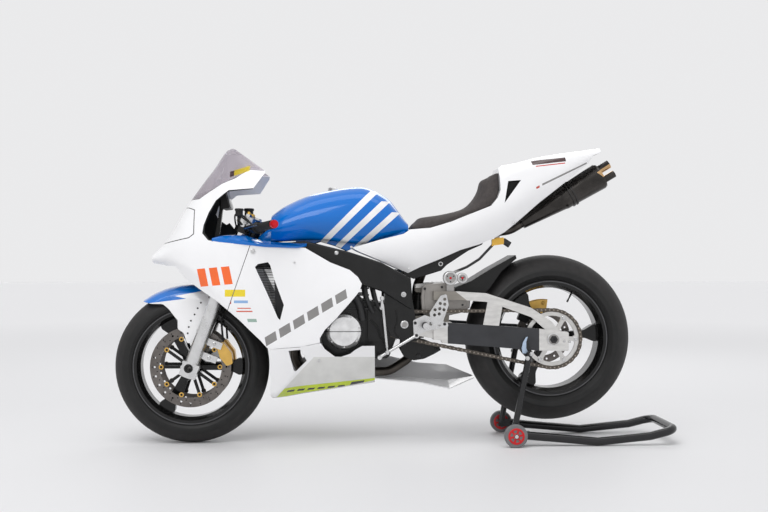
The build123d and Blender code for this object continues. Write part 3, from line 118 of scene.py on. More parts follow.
def position_noise(tree, scale, detail=4.0, stretch=(1, 1, 1)):
    """Noise on the object's own coordinates, in metres."""
    mapping = put(tree, "Mapping", {"Vector": object_place(tree), "Scale": stretch})
    noise = {"Vector": mapping.outputs["Vector"], "Scale": scale, "Detail": detail}
    return put(tree, "TexNoise", noise).outputs["Fac"]


def ramp(tree, source, stops):
    """A colour picked along a value, from stops of (place, colour)."""
    node = put(tree, "ValToRGB", {"Fac": source})
    band = node.color_ramp
    while len(band.elements) > 1:
        band.elements.remove(band.elements[-1])
    for i, (place, color) in enumerate(stops):
        stop = band.elements[0] if i == 0 else band.elements.new(place)
        stop.position = place
        stop.color = (*color, 1)
    return node.outputs["Color"]


def mottled(tree, color, spread, source):
    """The colour made a little darker and lighter by a noise."""
    dark, light = (tuple(min(1.0, part * factor) for part in color) for factor in (1 - spread, 1 + spread))
    return ramp(tree, source, [(0.3, dark), (0.7, light)])


# ---- camera, floor and light ------------------------------------------------

def make_camera():
    camera = linked("camera", bpy.data.cameras.new("camera"))
    camera.location = (FRONT_AXLE_X - CAMERA_BEHIND, CAMERA_LEFT, CAMERA_UP)
    level = math.cos(CAMERA_PITCH)
    aim = Vector((-math.sin(CAMERA_YAW) * level, -math.cos(CAMERA_YAW) * level, math.sin(CAMERA_PITCH)))
    camera.rotation_euler = aim.to_track_quat("-Z", "Y").to_euler()
    camera.data.sensor_width = SENSOR
    camera.data.lens = SENSOR * FOCAL_PIXELS / FRAME_PIXELS
    camera.data.clip_end = 60
    bpy.context.scene.camera = camera


def make_stage():
    """A large pale floor, and a world that is pale to the camera and softer as a light."""
    bpy.ops.mesh.primitive_plane_add(size=60, location=(0, 0, 0))
    floor = bpy.context.object
    floor.name = "floor"
    material, shader = material_base("floor_paint", FLOOR_NEAR, 0.55)
    tree = material.node_tree
    reach = put(tree, "VectorMath", {0: object_place(tree)}, operation="LENGTH").outputs["Value"]
    far = put(tree, "MapRange", {"Value": reach, "From Min": FLOOR_REACH[0], "From Max": FLOOR_REACH[1]})
    tones = ramp(tree, far.outputs["Result"], [(0.0, FLOOR_NEAR), (1.0, FLOOR_FAR)])
    tree.links.new(tones, shader.inputs["Base Color"])
    floor.data.materials.append(material)

    world = bpy.data.worlds.new("studio")
    bpy.context.scene.world = world
    world.use_nodes = True
    tree = world.node_tree
    tree.nodes.clear()
    soft = put(tree, "Background", {"Color": (0.98, 0.98, 1.0, 1), "Strength": 0.40})
    pale = put(tree, "Background", {"Color": (0.86, 0.86, 0.87, 1), "Strength": 0.96})
    path = put(tree, "LightPath", {}).outputs
    seen = joined(tree, "MAXIMUM", path["Is Camera Ray"], path["Is Transmission Ray"])
    seen = joined(tree, "MAXIMUM", seen, path["Is Glossy Ray"])
    shown = put(tree, "MixShader", {0: seen, 1: soft.outputs[0], 2: pale.outputs[0]})
    put(tree, "OutputWorld", {"Surface": shown.outputs[0]})


LAMPS = [
    # name, place, aim, size across and high, watts
    ("key", (1.9, 3.3, 3.3), (0.2, 0, 0.6), 3.0, 1.4, 42),
    ("top", (0.0, 0.4, 4.0), (0, 0, 0.5), 4.4, 1.6, 26),
    ("back", (-0.6, -3.6, 3.0), (0, 0, 0.6), 3.2, 1.4, 30),
]
SUNS = [
    # name, the way toward it, strength
    ("sky", (0.35, 0.9, 2.1), 1.26),
    ("low_sky", (-0.35, 1.0, 0.42), 0.42),
]
SUN_SPREAD = math.radians(50)


def make_lamps():
    for name, place, aim, across, high, watts in LAMPS:
        lamp = bpy.data.lights.new(name, "AREA")
        lamp.shape = "RECTANGLE"
        lamp.size = across
        lamp.size_y = high
        lamp.energy = watts
        lamp_object = linked(name, lamp)
        lamp_object.location = place
        lamp_object.rotation_euler = (Vector(aim) - Vector(place)).to_track_quat("-Z", "Y").to_euler()
    for name, toward, strength in SUNS:
        sun = bpy.data.lights.new(name, "SUN")
        sun.energy = strength
        sun.angle = SUN_SPREAD
        sun_object = linked(name, sun)
        sun_object.rotation_euler = (-Vector(toward)).to_track_quat("-Z", "Y").to_euler()
        sun_object.visible_glossy = False


# ---- materials -----------------------------------------------------------------

def material_base(name, color, rough, metal=0.0, coat=0.0):
    material = bpy.data.materials.new(name)
    material.use_nodes = True
    shader = material.node_tree.nodes["Principled BSDF"]
    shader.inputs["Base Color"].default_value = (*color, 1)
    shader.inputs["Roughness"].default_value = rough
    shader.inputs["Metallic"].default_value = metal
    shader.inputs["Coat Weight"].default_value = coat
    shader.inputs["Coat Roughness"].default_value = 0.05
    return material, shader


def surface(name, color, rough, metal=0.0, coat=0.0, spread=0.12, mottle=25, grain=400, bump=0.05,
            stretch=(1, 1, 1), rough_spread=0.06, gloss=0.5):
    """A finish with mottled colour, uneven roughness and a fine grain."""
    material, shader = material_base(name, color, rough, metal, coat)
    shader.inputs["Specular IOR Level"].default_value = gloss
    tree = material.node_tree
    patches = position_noise(tree, mottle, stretch=stretch)
    tree.links.new(mottled(tree, color, spread, patches), shader.inputs["Base Color"])
    levels = put(tree, "MapRange", {"Value": patches, "To Min": max(0.02, rough - rough_spread),
                                    "To Max": rough + rough_spread})
    tree.links.new(levels.outputs["Result"], shader.inputs["Roughness"])
    if bump:
        fine = position_noise(tree, grain, 2.0, stretch)
        height = put(tree, "Bump", {"Strength": bump, "Distance": 0.001, "Height": fine})
        tree.links.new(height.outputs["Normal"], shader.inputs["Normal"])
    return material


FINISHES = {
    # colour, roughness, metallic, then what differs from a plain surface
    "tyre": (RUBBER, 0.62, 0, dict(spread=0.25, mottle=40, grain=900, bump=0.25, gloss=0.35)),
    "rim_black": ((0.006, 0.006, 0.006), 0.16, 0, dict(coat=0.15, spread=0.2, bump=0.02, gloss=0.3)),
    "disc_steel": ((0.33, 0.32, 0.31), 0.32, 1, dict(spread=0.2, grain=1200, bump=0.1)),
    "silver_metal": ((0.68, 0.68, 0.68), 0.28, 1, dict(spread=0.08, grain=700, bump=0.06)),
    "black_metal": ((0.008, 0.008, 0.008), 0.24, 0, dict(coat=0.12, spread=0.25, bump=0.03, gloss=0.3)),
    "dark_metal": ((0.035, 0.035, 0.037), 0.42, 0.4, dict(spread=0.2, bump=0.08, gloss=0.35)),
    "chrome_tube": ((0.75, 0.75, 0.76), 0.1, 1, dict(spread=0.03, bump=0)),
    "grip_rubber": ((0.014, 0.014, 0.014), 0.75, 0, dict(grain=1500, bump=0.4, gloss=0.3)),
    "red_anodised": ((0.62, 0.01, 0.02), 0.3, 0.5, dict(spread=0.1)),
    "gold_metal": ((0.72, 0.45, 0.12), 0.33, 0.9, dict(bump=0.06)),
    "white_gloss": (WHITE, 0.18, 0, dict(coat=0.7, spread=0.02, mottle=6, bump=0, rough_spread=0.03)),
    "blue_gloss": (BLUE, 0.12, 0,
                   dict(coat=0.4, spread=0.06, mottle=6, bump=0, rough_spread=0.03, gloss=0.3)),
    "seat_foam": ((0.055, 0.048, 0.046), 0.85, 0, dict(spread=0.2, mottle=90, grain=1600, bump=0.5)),
    "black_plastic": ((0.009, 0.009, 0.009), 0.42, 0, dict(grain=900, bump=0.15, gloss=0.3)),
    "titanium_dark": ((0.06, 0.056, 0.052), 0.3, 0.85, dict(spread=0.25, stretch=(1, 6, 1))),
    "exhaust_steel": ((0.075, 0.066, 0.058), 0.34, 0.9, dict(spread=0.25)),
    "chain_steel": ((0.12, 0.105, 0.09), 0.45, 0.8, dict(spread=0.3, bump=0.1)),
    "stand_black": ((0.009, 0.009, 0.010), 0.2, 0, dict(coat=0.2, spread=0.15, bump=0.02, gloss=0.4)),
    "stand_wheel": ((0.16, 0.16, 0.165), 0.6, 0, dict(spread=0.1, bump=0.2)),
}
SMALL_FINISHES = {
    # colour, roughness and metallic of the small pieces that have no node of their own
    # painted highlight: a lighter grey metal for the rims' edge beads, standing in for the bright lines round
    # the black rims
    "rim_painted_highlight": ((0.10, 0.10, 0.105), 0.25, 0.6),
    "stand_red": ((0.55, 0.008, 0.012), 0.32, 0.1),
    "hook_blue": ((0.42, 0.52, 0.66), 0.45, 0.2),
    "cap_gold": ((0.70, 0.44, 0.10), 0.3, 0.9),
    "pin_steel": ((0.34, 0.30, 0.26), 0.35, 0.9),
    "dash_glass": ((0.02, 0.022, 0.026), 0.08, 0.0),
    "band_steel": ((0.05, 0.048, 0.047), 0.35, 0.8),
    "hose_rubber": ((0.016, 0.016, 0.017), 0.45, 0.0),
    "fin_grey": ((0.09, 0.09, 0.092), 0.5, 0.6),
    "casting_grey": ((0.36, 0.34, 0.32), 0.48, 0.6),
}


def make_materials():
    for name, (color, rough, metal, more) in FINISHES.items():
        MATERIALS[name] = surface(name, color, rough, metal, **more)
    for name, (color, rough, metal) in SMALL_FINISHES.items():
        MATERIALS[name] = surface(name, color, rough, metal, mottle=30, grain=700, bump=0.06)
    glass, shader = material_base("screen_tint", (0.60, 0.55, 0.60), 0.06)
    shader.inputs["Transmission Weight"].default_value = 0.55
    shader.inputs["IOR"].default_value = 1.2
    shader.inputs["Alpha"].default_value = 0.72
    tree = glass.node_tree
    haze = ramp(tree, position_noise(tree, 9), [(0.3, (0.50, 0.46, 0.50)), (0.7, (0.62, 0.57, 0.62))])
    tree.links.new(haze, shader.inputs["Base Color"])
    MATERIALS["screen_tint"] = glass


def dress_nodes():
    """Gives every CAD node the finish of its record slot."""
    for name, node in frame["nodes"].items():
        material = MATERIALS[SLOTS[name]]
        if not node.material_slots:
            node.data.materials.append(material)
        for slot in node.material_slots:
            slot.material = material


# ---- paint marks ------------------------------------------------------------------

def distance_past(tree, place, normal, offset):
    """How far a point lies past a plane."""
    dot = put(tree, "VectorMath", {0: place, 1: normal}, operation="DOT_PRODUCT")
    return joined(tree, "SUBTRACT", dot.outputs["Value"], offset)


def winding(points):
    """1 for an outline that runs counterclockwise, -1 for the other way."""
    count = range(len(points))
    area = sum(points[i - 1][0] * points[i][1] - points[i][0] * points[i - 1][1] for i in count)
    return 1 if area > 0 else -1


def depth_in(tree, place, outline):
    """How deep a point lies inside a convex side outline of (behind, up) corners, in metres."""
    corners = [(at(behind, 0, up).x, at(behind, 0, up).z) for behind, up in outline]
    side = winding(corners)
    least = None
    for i, here in enumerate(corners):
        before = corners[i - 1]
        length = math.dist(before, here)
        normal = (-(here[1] - before[1]) / length * side, 0, (here[0] - before[0]) / length * side)
        past = distance_past(tree, place, normal, normal[0] * here[0] + normal[2] * here[1])
        least = past if least is None else joined(tree, "MINIMUM", least, past)
    return least


def area_mask(tree, place, outline):
    return joined(tree, "GREATER_THAN", depth_in(tree, place, outline), 0.0)


def between(tree, value, low, high):
    return joined(tree, "MULTIPLY", joined(tree, "GREATER_THAN", value, low),
                  joined(tree, "LESS_THAN", value, high))


def rim_mask(tree, place, outline, width):
    """A line of the given millimetres just inside an outline."""
    return between(tree, depth_in(tree, place, outline), 0.0, width / 1000)


def ring_mask(tree, place, centre, inner, outer):
    """1 between two radii about a crosswise axis, given as (behind, up)."""
    middle = at(centre[0], 0, centre[1])
    flat = put(tree, "VectorMath", {0: place, 1: (1, 0, 1)}, operation="MULTIPLY").outputs["Vector"]
    far = put(tree, "VectorMath", {0: flat, 1: middle}, operation="DISTANCE")
    return between(tree, far.outputs["Value"], inner / 1000, outer / 1000)


def side_mask(tree, place, axis, beyond, sign=1):
    """1 where the point's coordinate times the sign is past so many metres."""
    normal = [0, 0, 0]
    normal[axis] = sign
    return joined(tree, "GREATER_THAN", distance_past(tree, place, normal, beyond), 0.0)


def lay_color(material, mask, color, spread=0.06, rough=None, metal=None):
    """Lays a slightly mottled colour over the material wherever the mask is 1."""
    tree = material.node_tree
    shader = tree.nodes["Principled BSDF"]
    shades = mottled(tree, color, spread, position_noise(tree, 18))
    base = shader.inputs["Base Color"]
    mix = put(tree, "Mix", {0: mask, 6: base.links[0].from_socket, 7: shades}, data_type="RGBA")
    tree.links.new(mix.outputs[2], base)
    for name, value in (("Roughness", rough), ("Metallic", metal)):
        if value is not None:
            socket = shader.inputs[name]
            under = socket.links[0].from_socket if socket.links else socket.default_value
            blend = put(tree, "MapRange", {"Value": mask, "To Min": under, "To Max": value})
            tree.links.new(blend.outputs["Result"], socket)


def marked(name, color, marks, rough=0.18, coat=0.7, gloss=0.5):
    """Gloss paint with plain coloured marks, each (colour, outline) in the side view."""
    material = surface(name, color, rough, coat=coat, spread=0.02, mottle=6, bump=0,
                       rough_spread=0.03, gloss=gloss)
    place = object_place(material.node_tree)
    for mark_color, outline in marks:
        lay_color(material, area_mask(material.node_tree, place, outline), mark_color)
    MATERIALS[name] = material
    return material


def slanted(start, end, high, lean=0.0):
    """A band's four corners from its lower edge's ends, its height and its ends' lean."""
    (s0, z0), (s1, z1) = start, end
    return [(s0, z0), (s1, z1), (s1 - lean, z1 + high), (s0 - lean, z0 + high)]


ORANGE = (0.90, 0.13, 0.008)
YELLOW = (0.80, 0.62, 0.01)
LIME = (0.50, 0.62, 0.02)
RED = (0.55, 0.03, 0.02)
BRICK = (0.60, 0.10, 0.06)
PALE_BLUE = (0.25, 0.42, 0.70)
DULL_GREEN = (0.28, 0.40, 0.34)
GREY_MARK = (0.22, 0.215, 0.21)
SEAM_GREY = (0.16, 0.16, 0.165)
DARK_MARK = (0.02, 0.02, 0.02)
# painted shade: a grey laid on the belly pan's lower face below the crease, where that face turns inward into
# shadow
BELLY_PAINTED_SHADE = (0.68, 0.68, 0.66)
BELLY_SHADE_OUTLINE = [(476, 348), (708, 346), (708, 200), (317, 176)]
BOARD = [(-300, 732), (5, 791), (26, 806), (24, 900), (-4, 910), (-300, 916)]
BOARD_LINE = 3.5
DASH_RUN = [(300, 389), (352, 420), (404, 451), (456, 482), (508, 513), (560, 544), (612, 575)]
PAN_SIDE = 0.128                      # the belly pan's marks begin this far from the middle
PAN_SLOPE = 0.077                     # rise of the pan's row of dashes
PAN_DASH = ((0, 207), (26, 209), (32, 217), (6, 215))
SIDE_MARKS = [
    (RED, slanted((150, 546), (170, 546), 16)),
    (PALE_BLUE, slanted((180, 549), (232, 549), 10)),
    (BRICK, slanted((190, 516), (250, 516), 5, 2)),
    (BRICK, slanted((194, 528), (244, 528), 4, 2)),
    (DULL_GREEN, slanted((232, 479), (266, 479), 12, 3)),
]
SCREEN_MARKS = [(YELLOW, slanted((158, 1021), (232, 1045), 22)),
                ((0.05, 0.01, 0.01), slanted((158, 1021), (174, 1026), 22))]
TAIL_MARKS = [
    ((0.05, 0.02, 0.02), [(1314, 1093), (1448, 1108), (1450, 1092), (1318, 1076)]),
    (RED, [(1330, 1073), (1446, 1087), (1446, 1083), (1330, 1069)]),
    (GREY_MARK, [(1352, 1003), (1535, 1090), (1535, 1084), (1354, 996)]),
    ((0.5, 0.05, 0.03), [(1328, 990), (1342, 997), (1343, 989), (1330, 982)]),
]
FENDER_MARKS = [
    (BLUE, [(-200, 538), (-143, 545), (-14, 560), (-60, 571), (-200, 571)]),
    (BLUE, [(-200, 570), (-62, 570), (46, 590), (46, 645), (-200, 645)]),
]


def make_paints():
    """The painted panels' materials, with plain bands and blocks where the bike wears colour, and painted
    shade in grey on the belly pan's lower face.
    """
    bars = [(ORANGE, slanted((s, z), (s + 31, z + 3), 66, 14)) for s, z in ((53, 609), (99, 613), (145, 617))]
    block = [(YELLOW, slanted((146, 573), (222, 573), 26))]
    seam = [(SEAM_GREY, [(238.6, 765), (241.4, 765), (157.4, 522), (154.6, 522)])]
    dashes = [(GREY_MARK, slanted(start, (end[0] - 12, end[1] - 7), 33, 6))
              for start, end in zip(DASH_RUN, DASH_RUN[1:])]
    upper = marked("upper_paint", WHITE, bars + block + seam + SCREEN_MARKS)
    tree = upper.node_tree
    lay_color(upper, rim_mask(tree, object_place(tree), BOARD, BOARD_LINE), (0.03, 0.03, 0.03))
    glass = MATERIALS["screen_tint"]
    for color, outline in SCREEN_MARKS:
        lay_color(glass, area_mask(glass.node_tree, object_place(glass.node_tree), outline), color)
    marked("panel_paint", WHITE, bars + block + SIDE_MARKS + dashes + seam)

    pan_marks = [(LIME, [(330, 188), (660, 214), (722, 262), (366, 228)])]
    for s in range(372, 600, 38):
        rise = (s - 333) * PAN_SLOPE
        pan_marks.append((DARK_MARK, [(s + ahead, up + rise) for ahead, up in PAN_DASH]))
    pan_marks.append((DARK_MARK, [(600, 216), (650, 222), (668, 252), (618, 246)]))
    # the belly pan's lower face is painted grey, as painted shade
    belly = marked("belly_paint", WHITE, [(BELLY_PAINTED_SHADE, BELLY_SHADE_OUTLINE)])
    tree = belly.node_tree
    place = object_place(tree)
    left, right = (side_mask(tree, place, 1, PAN_SIDE, sign) for sign in (1, -1))
    outside = joined(tree, "MAXIMUM", left, right)
    for color, outline in pan_marks:
        lay_color(belly, joined(tree, "MULTIPLY", area_mask(tree, place, outline), outside), color)

    stripes = []
    for i in range(3):
        s, z, top = 478 + 66 * i, 760 - 8 * i, 976 - 42 * i
        stripes.append((WHITE, [(s, z), (s + 30, z), (s + 250 - 26 * i, top), (s + 214 - 26 * i, top)]))
    marked("tank_paint", BLUE, stripes, 0.12, 0.4, 0.3)
    marked("tail_paint", WHITE, TAIL_MARKS)
    marked("fender_paint", WHITE, FENDER_MARKS)


ARM_BEAM = [(984, 470), (1336, 446), (1336, 358), (984, 390)]
ARM_CASTING = [(842, 600), (1000, 600), (1070, 545), (1070, 472), (842, 472)]
SHOCK_FOOT = [(840, 300), (910, 300), (910, 380), (840, 380)]
ADJUSTER_HOSE = [(1000, 668.5), (1168, 668.5), (1168, 800), (1100, 800), (1000, 700)]
ADJUSTER = [(1159, 762), (1205, 768), (1207, 800), (1159, 792)]
ADJUSTER_END = [(1206, 740), (1260, 740), (1260, 800), (1206, 800)]
COVER_SPLIT = [(510, 440.4), (670, 440.4), (670, 437.6), (510, 437.6)]
SILENCER_TIP = [(1580, 1052), (1640, 1090), (1670, 1072), (1606, 1034)]
CAST_GREY = (0.30, 0.28, 0.25)
HOSE_BLACK = (0.015, 0.015, 0.016)
OLD_STEEL = (0.05, 0.045, 0.04)
DISC_STEEL = (0.17, 0.155, 0.145)


REGIONS = [
    # CAD node, colour, roughness, metallic, what differs from a plain surface, then the coats:
    # mask, its measures, colour, spread, roughness and metallic
    ("front_tyre", RUBBER, 0.6, 0, FINISHES["tyre"][3],
     [(ring_mask, (FRONT_HUB, 222, 262), (0.011, 0.011, 0.011), 0.2, 0.42)]),
    ("rear_tyre", RUBBER, 0.6, 0, FINISHES["tyre"][3],
     [(ring_mask, (REAR_HUB, 222, 268), (0.011, 0.011, 0.011), 0.2, 0.42)]),
    ("front_discs", DISC_STEEL, 0.3, 1, FINISHES["disc_steel"][3],
     [(ring_mask, (FRONT_HUB, 10, 117), (0.014, 0.014, 0.014), 0.2, 0.4, 0.5)]),
    ("rear_disc", DISC_STEEL, 0.3, 1, FINISHES["disc_steel"][3],
     [(ring_mask, (REAR_HUB, 10, 78), (0.014, 0.014, 0.014), 0.2, 0.4, 0.5)]),
    ("swingarm", (0.72, 0.71, 0.69), 0.36, 0.95, dict(spread=0.1, grain=500, bump=0.08, stretch=(1, 1, 3)),
     [(area_mask, (ARM_BEAM,), (0.035, 0.036, 0.04), 0.15, 0.42, 0.3),
      (area_mask, (ARM_CASTING,), CAST_GREY, 0.12, 0.5, 0.7)]),
    ("shock_absorber", (0.035, 0.034, 0.033), 0.35, 0.6, dict(spread=0.2),
     [(area_mask, (SHOCK_FOOT,), CAST_GREY, 0.1, 0.4, 0.8)]),
    ("shock_reservoirs", (0.40, 0.39, 0.38), 0.3, 0.95, dict(spread=0.1, grain=700),
     [(area_mask, (ADJUSTER_HOSE,), HOSE_BLACK, 0.1, 0.5, 0),
      (area_mask, (ADJUSTER,), (0.72, 0.43, 0.08), 0.1, 0.35, 0.8),
      (area_mask, (ADJUSTER_END,), HOSE_BLACK, 0.1, 0.5, 0),
      (side_mask, (2, 0.8005), (0.02, 0.02, 0.021), 0.1, 0.5, 0)]),
    ("rear_sprocket", (0.66, 0.65, 0.63), 0.32, 1, FINISHES["silver_metal"][3],
     [(ring_mask, (REAR_HUB, 104.5, 130), OLD_STEEL, 0.2, 0.45, 0.8),
      (ring_mask, (REAR_HUB, 0, 40), OLD_STEEL, 0.2, 0.45, 0.8)]),
    ("generator_cover", (0.80, 0.80, 0.80), 0.30, 1, dict(spread=0.14, mottle=30, grain=600, bump=0.12),
     [(area_mask, (COVER_SPLIT,), (0.05, 0.05, 0.05), 0.1, 0.5, 0.8)]),
    ("silencer", (0.050, 0.046, 0.043), 0.24, 0.85, dict(spread=0.35, mottle=14, stretch=(1, 6, 1)),
     [(area_mask, (SILENCER_TIP,), (0.62, 0.40, 0.20), 0.15, 0.25, 1)]),
]


def paint_regions():
    """The nodes whose parts differ in finish, such as the tyres, the discs and the swingarm."""
    for node, color, rough, metal, more, coats in REGIONS:
        material = surface(node + "_finish", color, rough, metal, **more)
        tree = material.node_tree
        place = object_place(tree)
        for mask, measures, *finish in coats:
            lay_color(material, mask(tree, place, *measures), *finish)
        frame["nodes"][node].material_slots[0].material = material
    frame["nodes"]["rear_caliper"].material_slots[0].material = MATERIALS["dark_metal"]


# ---- small pieces -----------------------------------------------------------------

BATCHES = {}


def batch(name, slot, finish=None, body="chassis"):
    """The bmesh that gathers a group of small pieces of one finish on one body."""
    if name not in BATCHES:
        BATCHES[name] = (bmesh.new(), slot, finish or slot, body)
    return BATCHES[name][0]


def finish_batches():
    for name, (bm, slot, finish, body) in BATCHES.items():
        bmesh.ops.recalc_face_normals(bm, faces=bm.faces)
        new_piece(name, bm, finish, body, 35)


def new_piece(name, shape, finish, body="chassis", sharp=32):
    """Makes a piece from a bmesh or a mesh, smooth up to the sharp angle, and puts it on its body."""
    mesh = shape
    if isinstance(shape, bmesh.types.BMesh):
        mesh = bpy.data.meshes.new(name)
        shape.to_mesh(mesh)
        shape.free()
    mesh.name = name
    mesh.shade_smooth()
    mesh.set_sharp_from_angle(angle=math.radians(sharp))
    mesh.materials.clear()
    mesh.materials.append(MATERIALS[finish])
    piece = linked(name, mesh)
    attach(piece, body)
    return piece


def stand_in(node, shape, finish, body="chassis", sharp=32):
    """A piece that is shown in place of a CAD node."""
    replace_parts(new_piece("shown_" + node, shape, finish, body, sharp), node)


def axis_frame(axis):
    """Two unit vectors square to an axis."""
    axis = axis.normalized()
    side = UP if abs(axis.z) < 0.9 else Vector((1, 0, 0))
    first = axis.cross(side).normalized()
    return first, axis.cross(first)


def circle(bm, middle, first, second, radius, count):
    """New corners round a point, on a radius in millimetres."""
    turns = [math.tau * i / count for i in range(count)]
    return [bm.verts.new(middle + (first * math.cos(turn) + second * math.sin(turn)) * (radius / 1000))
            for turn in turns]


def bridge(bm, near, far):
    """A band of faces between two rings of corners."""
    for i in range(len(near)):
        bm.faces.new((near[i - 1], near[i], far[i], far[i - 1]))


def skin(bm, rings):
    """A closed body through rings of corners."""
    for near, far in zip(rings, rings[1:]):
        bridge(bm, near, far)
    bm.faces.new(rings[0])
    bm.faces.new(rings[-1])


def skinned(rings):
    """A new bmesh through rings of points, its normals outward."""
    bm = bmesh.new()
    skin(bm, [[bm.verts.new(point) for point in ring] for ring in rings])
    bmesh.ops.recalc_face_normals(bm, faces=bm.faces)
    return bm


POINT = 0.01                          # a smaller radius closes a turned body on its axis


def lathe(bm, foot, axis, profile, steps=20):
    """A closed turned body: profile gives (radius, along) in millimetres from the foot."""
    axis = axis.normalized()
    first, second = axis_frame(axis)
    rings = []
    for radius, along in profile:
        middle = foot + axis * (along / 1000)
        if radius < POINT:
            rings.append([bm.verts.new(middle)])
        else:
            rings.append(circle(bm, middle, first, second, radius, steps))
    for near, far in zip(rings, rings[1:]):
        if len(near) == len(far):
            bridge(bm, near, far)
            continue
        for i in range(steps):
            if len(near) == 1:
                bm.faces.new((near[0], far[i], far[i - 1]))
            else:
                bm.faces.new((near[i - 1], near[i], far[0]))


def ring_lathe(bm, foot, axis, profile, steps=32):
    """A turned ring: its profile is closed on itself."""
    axis = axis.normalized()
    first, second = axis_frame(axis)
    rings = [circle(bm, foot + axis * (along / 1000), first, second, radius, steps)
             for radius, along in profile]
    for j in range(len(rings)):
        bridge(bm, rings[j - 1], rings[j])


SCREW = ((0, -1), (1, -1), (1, 0.35), (0.82, 0.85), (0.55, 1), (0.42, 1), (0.38, 0.35), (0, 0.35))
NUT_FLANGE = ((0, -1), (1.25, -1), (1.25, 0.2), (1.02, 0.3))
NUT_HEXAGON = ((1, 0.25), (1, 0.9), (0.88, 1), (0.5, 1), (0.45, 0.6), (0, 0.6))


def scaled(shape, radius, high=1):
    """A profile from parts of a radius and a height; what lies below the foot stays in millimetres."""
    return [(radius * across, high * up if up > 0 else up) for across, up in shape]


def screw(bm, foot, axis, radius, high, steps=14):
    """A button-headed screw with a dished socket."""
    lathe(bm, foot, axis, scaled(SCREW, radius, high), steps)


def nut(bm, foot, axis, radius, high):
    """A flanged hexagon nut or bolt head with a hollow end."""
    lathe(bm, foot, axis, scaled(NUT_FLANGE, radius, high), 18)
    lathe(bm, foot, axis, scaled(NUT_HEXAGON, radius, high), 6)


def both_sides(places):
    """Each place of (behind, left, up) on the left and mirrored on the right, with the way outward."""
    return [(place, out) for sign, out in SIDES for place in placed(places, sign)]


def curve_points(points, per_span=6):
    """A smooth line through the points."""
    line = []
    for i in range(len(points) - 1):
        p0 = points[max(0, i - 1)]
        p1, p2 = points[i], points[i + 1]
        p3 = points[min(len(points) - 1, i + 2)]
        for j in range(per_span):
            t = j / per_span
            line.append(0.5 * ((2 * p1) + (p2 - p0) * t + (2 * p0 - 5 * p1 + 4 * p2 - p3) * t * t
                               + (3 * p1 - p0 - 3 * p2 + p3) * t ** 3))
    line.append(points[-1])
    return line


def hose(bm, points, radius, sides=10):
    """A smooth round tube through points, closed at both ends."""
    line = curve_points(points)
    rings = []
    side = None
    for i, here in enumerate(line):
        along = (line[min(i + 1, len(line) - 1)] - line[max(i - 1, 0)]).normalized()
        if side is None:
            side = axis_frame(along)[0]
        side = (side - along * side.dot(along)).normalized()
        rings.append(circle(bm, here, side, along.cross(side), radius, sides))
    skin(bm, rings)


def inset(points, depth):
    """A closed outline moved inward all round."""
    side = winding(points)
    moved = []
    for i, here in enumerate(points):
        normals = []
        for a, b in ((points[i - 1], here), (here, points[(i + 1) % len(points)])):
            length = math.dist(a, b)
            normals.append((-(b[1] - a[1]) / length * side, (b[0] - a[0]) / length * side))
        (nx, ny), (mx, my) = normals
        scale = depth / max(0.25, 1 + nx * mx + ny * my)
        moved.append((here[0] + (nx + mx) * scale, here[1] + (ny + my) * scale))
    return moved


def plate(bm, outline, right, left, ease=0.8):
    """A side outline as a plate with eased edges."""
    inner = inset(outline, ease)
    layers = [(inner, right), (outline, right + ease), (outline, left - ease), (inner, left)]
    skin(bm, [[bm.verts.new(at(s, y, z)) for s, z in shape] for shape, y in layers])


def side_plate(bm, outline, sign, near, far, ease=0.8):
    """A plate on one side, between two distances from the middle."""
    plate(bm, outline, *sorted((sign * near, sign * far)), ease)


UP_STEER = Vector((-math.sin(HEAD_LEAN), 0, math.cos(HEAD_LEAN)))
FORE_STEER = Vector((math.cos(HEAD_LEAN), 0, math.sin(HEAD_LEAN)))


def steer(along, ahead=0.0, left=0.0):
    """A point in the steering axis' own frame: up the axis, ahead of it and left of it."""
    foot = at(STEM_LEAD * math.cos(HEAD_LEAN), 0, FRONT_HUB[1] - STEM_LEAD * math.sin(HEAD_LEAN))
    return foot + (UP_STEER * along + FORE_STEER * ahead + LEFT * left) / 1000


# ---- bodywork -------------------------------------------------------------------

# Cross-sections of the fairing, tank and tail, as the part's solids have them:
# behind, then (left, up) corners of the left half from the top line to the keel.
FAIRING = [
    (-147, (14, 733), (44, 729), (60, 720), (60, 708), (44, 699), (14, 695)),
    (-96, (30, 787), (70, 768), (98, 735), (98, 712), (80, 692), (30, 684)),
    (-11, (50, 930), (120, 862), (160, 770), (165, 690), (140, 610), (60, 560)),
    (82, (58, 1058), (150, 950), (202, 790), (205, 620), (180, 500), (100, 460)),
    (152, (60, 1143), (184, 990), (222, 770), (222, 560), (200, 400), (120, 330)),
    (320, (70, 1143), (200, 990), (232, 700), (232, 385), (186, 195), (128, 184)),
    (450, (90, 1000), (200, 840), (236, 640), (234, 394), (206, 315), (130, 202)),
    (570, (90, 900), (196, 800), (236, 600), (232, 400), (204, 330), (128, 220)),
    (715, (90, 860), (190, 780), (226, 590), (220, 400), (190, 334), (120, 241)),
]
FAIRING_ROUNDS = (60, 90, 110, 12, 22, 20)
TANK = [
    (310, (50, 882), (96, 866), (120, 832), (104, 778)),
    (358, (60, 916), (120, 886), (146, 836), (124, 781)),
    (495, (72, 970), (138, 932), (162, 856), (128, 785)),
    (652, (74, 992), (140, 950), (160, 860), (120, 770)),
    (750, (66, 954), (124, 916), (142, 850), (112, 795)),
    (836, (50, 850), (84, 846), (100, 830), (96, 812)),
]
TANK_ROUNDS = (60, 50, 42, 14)
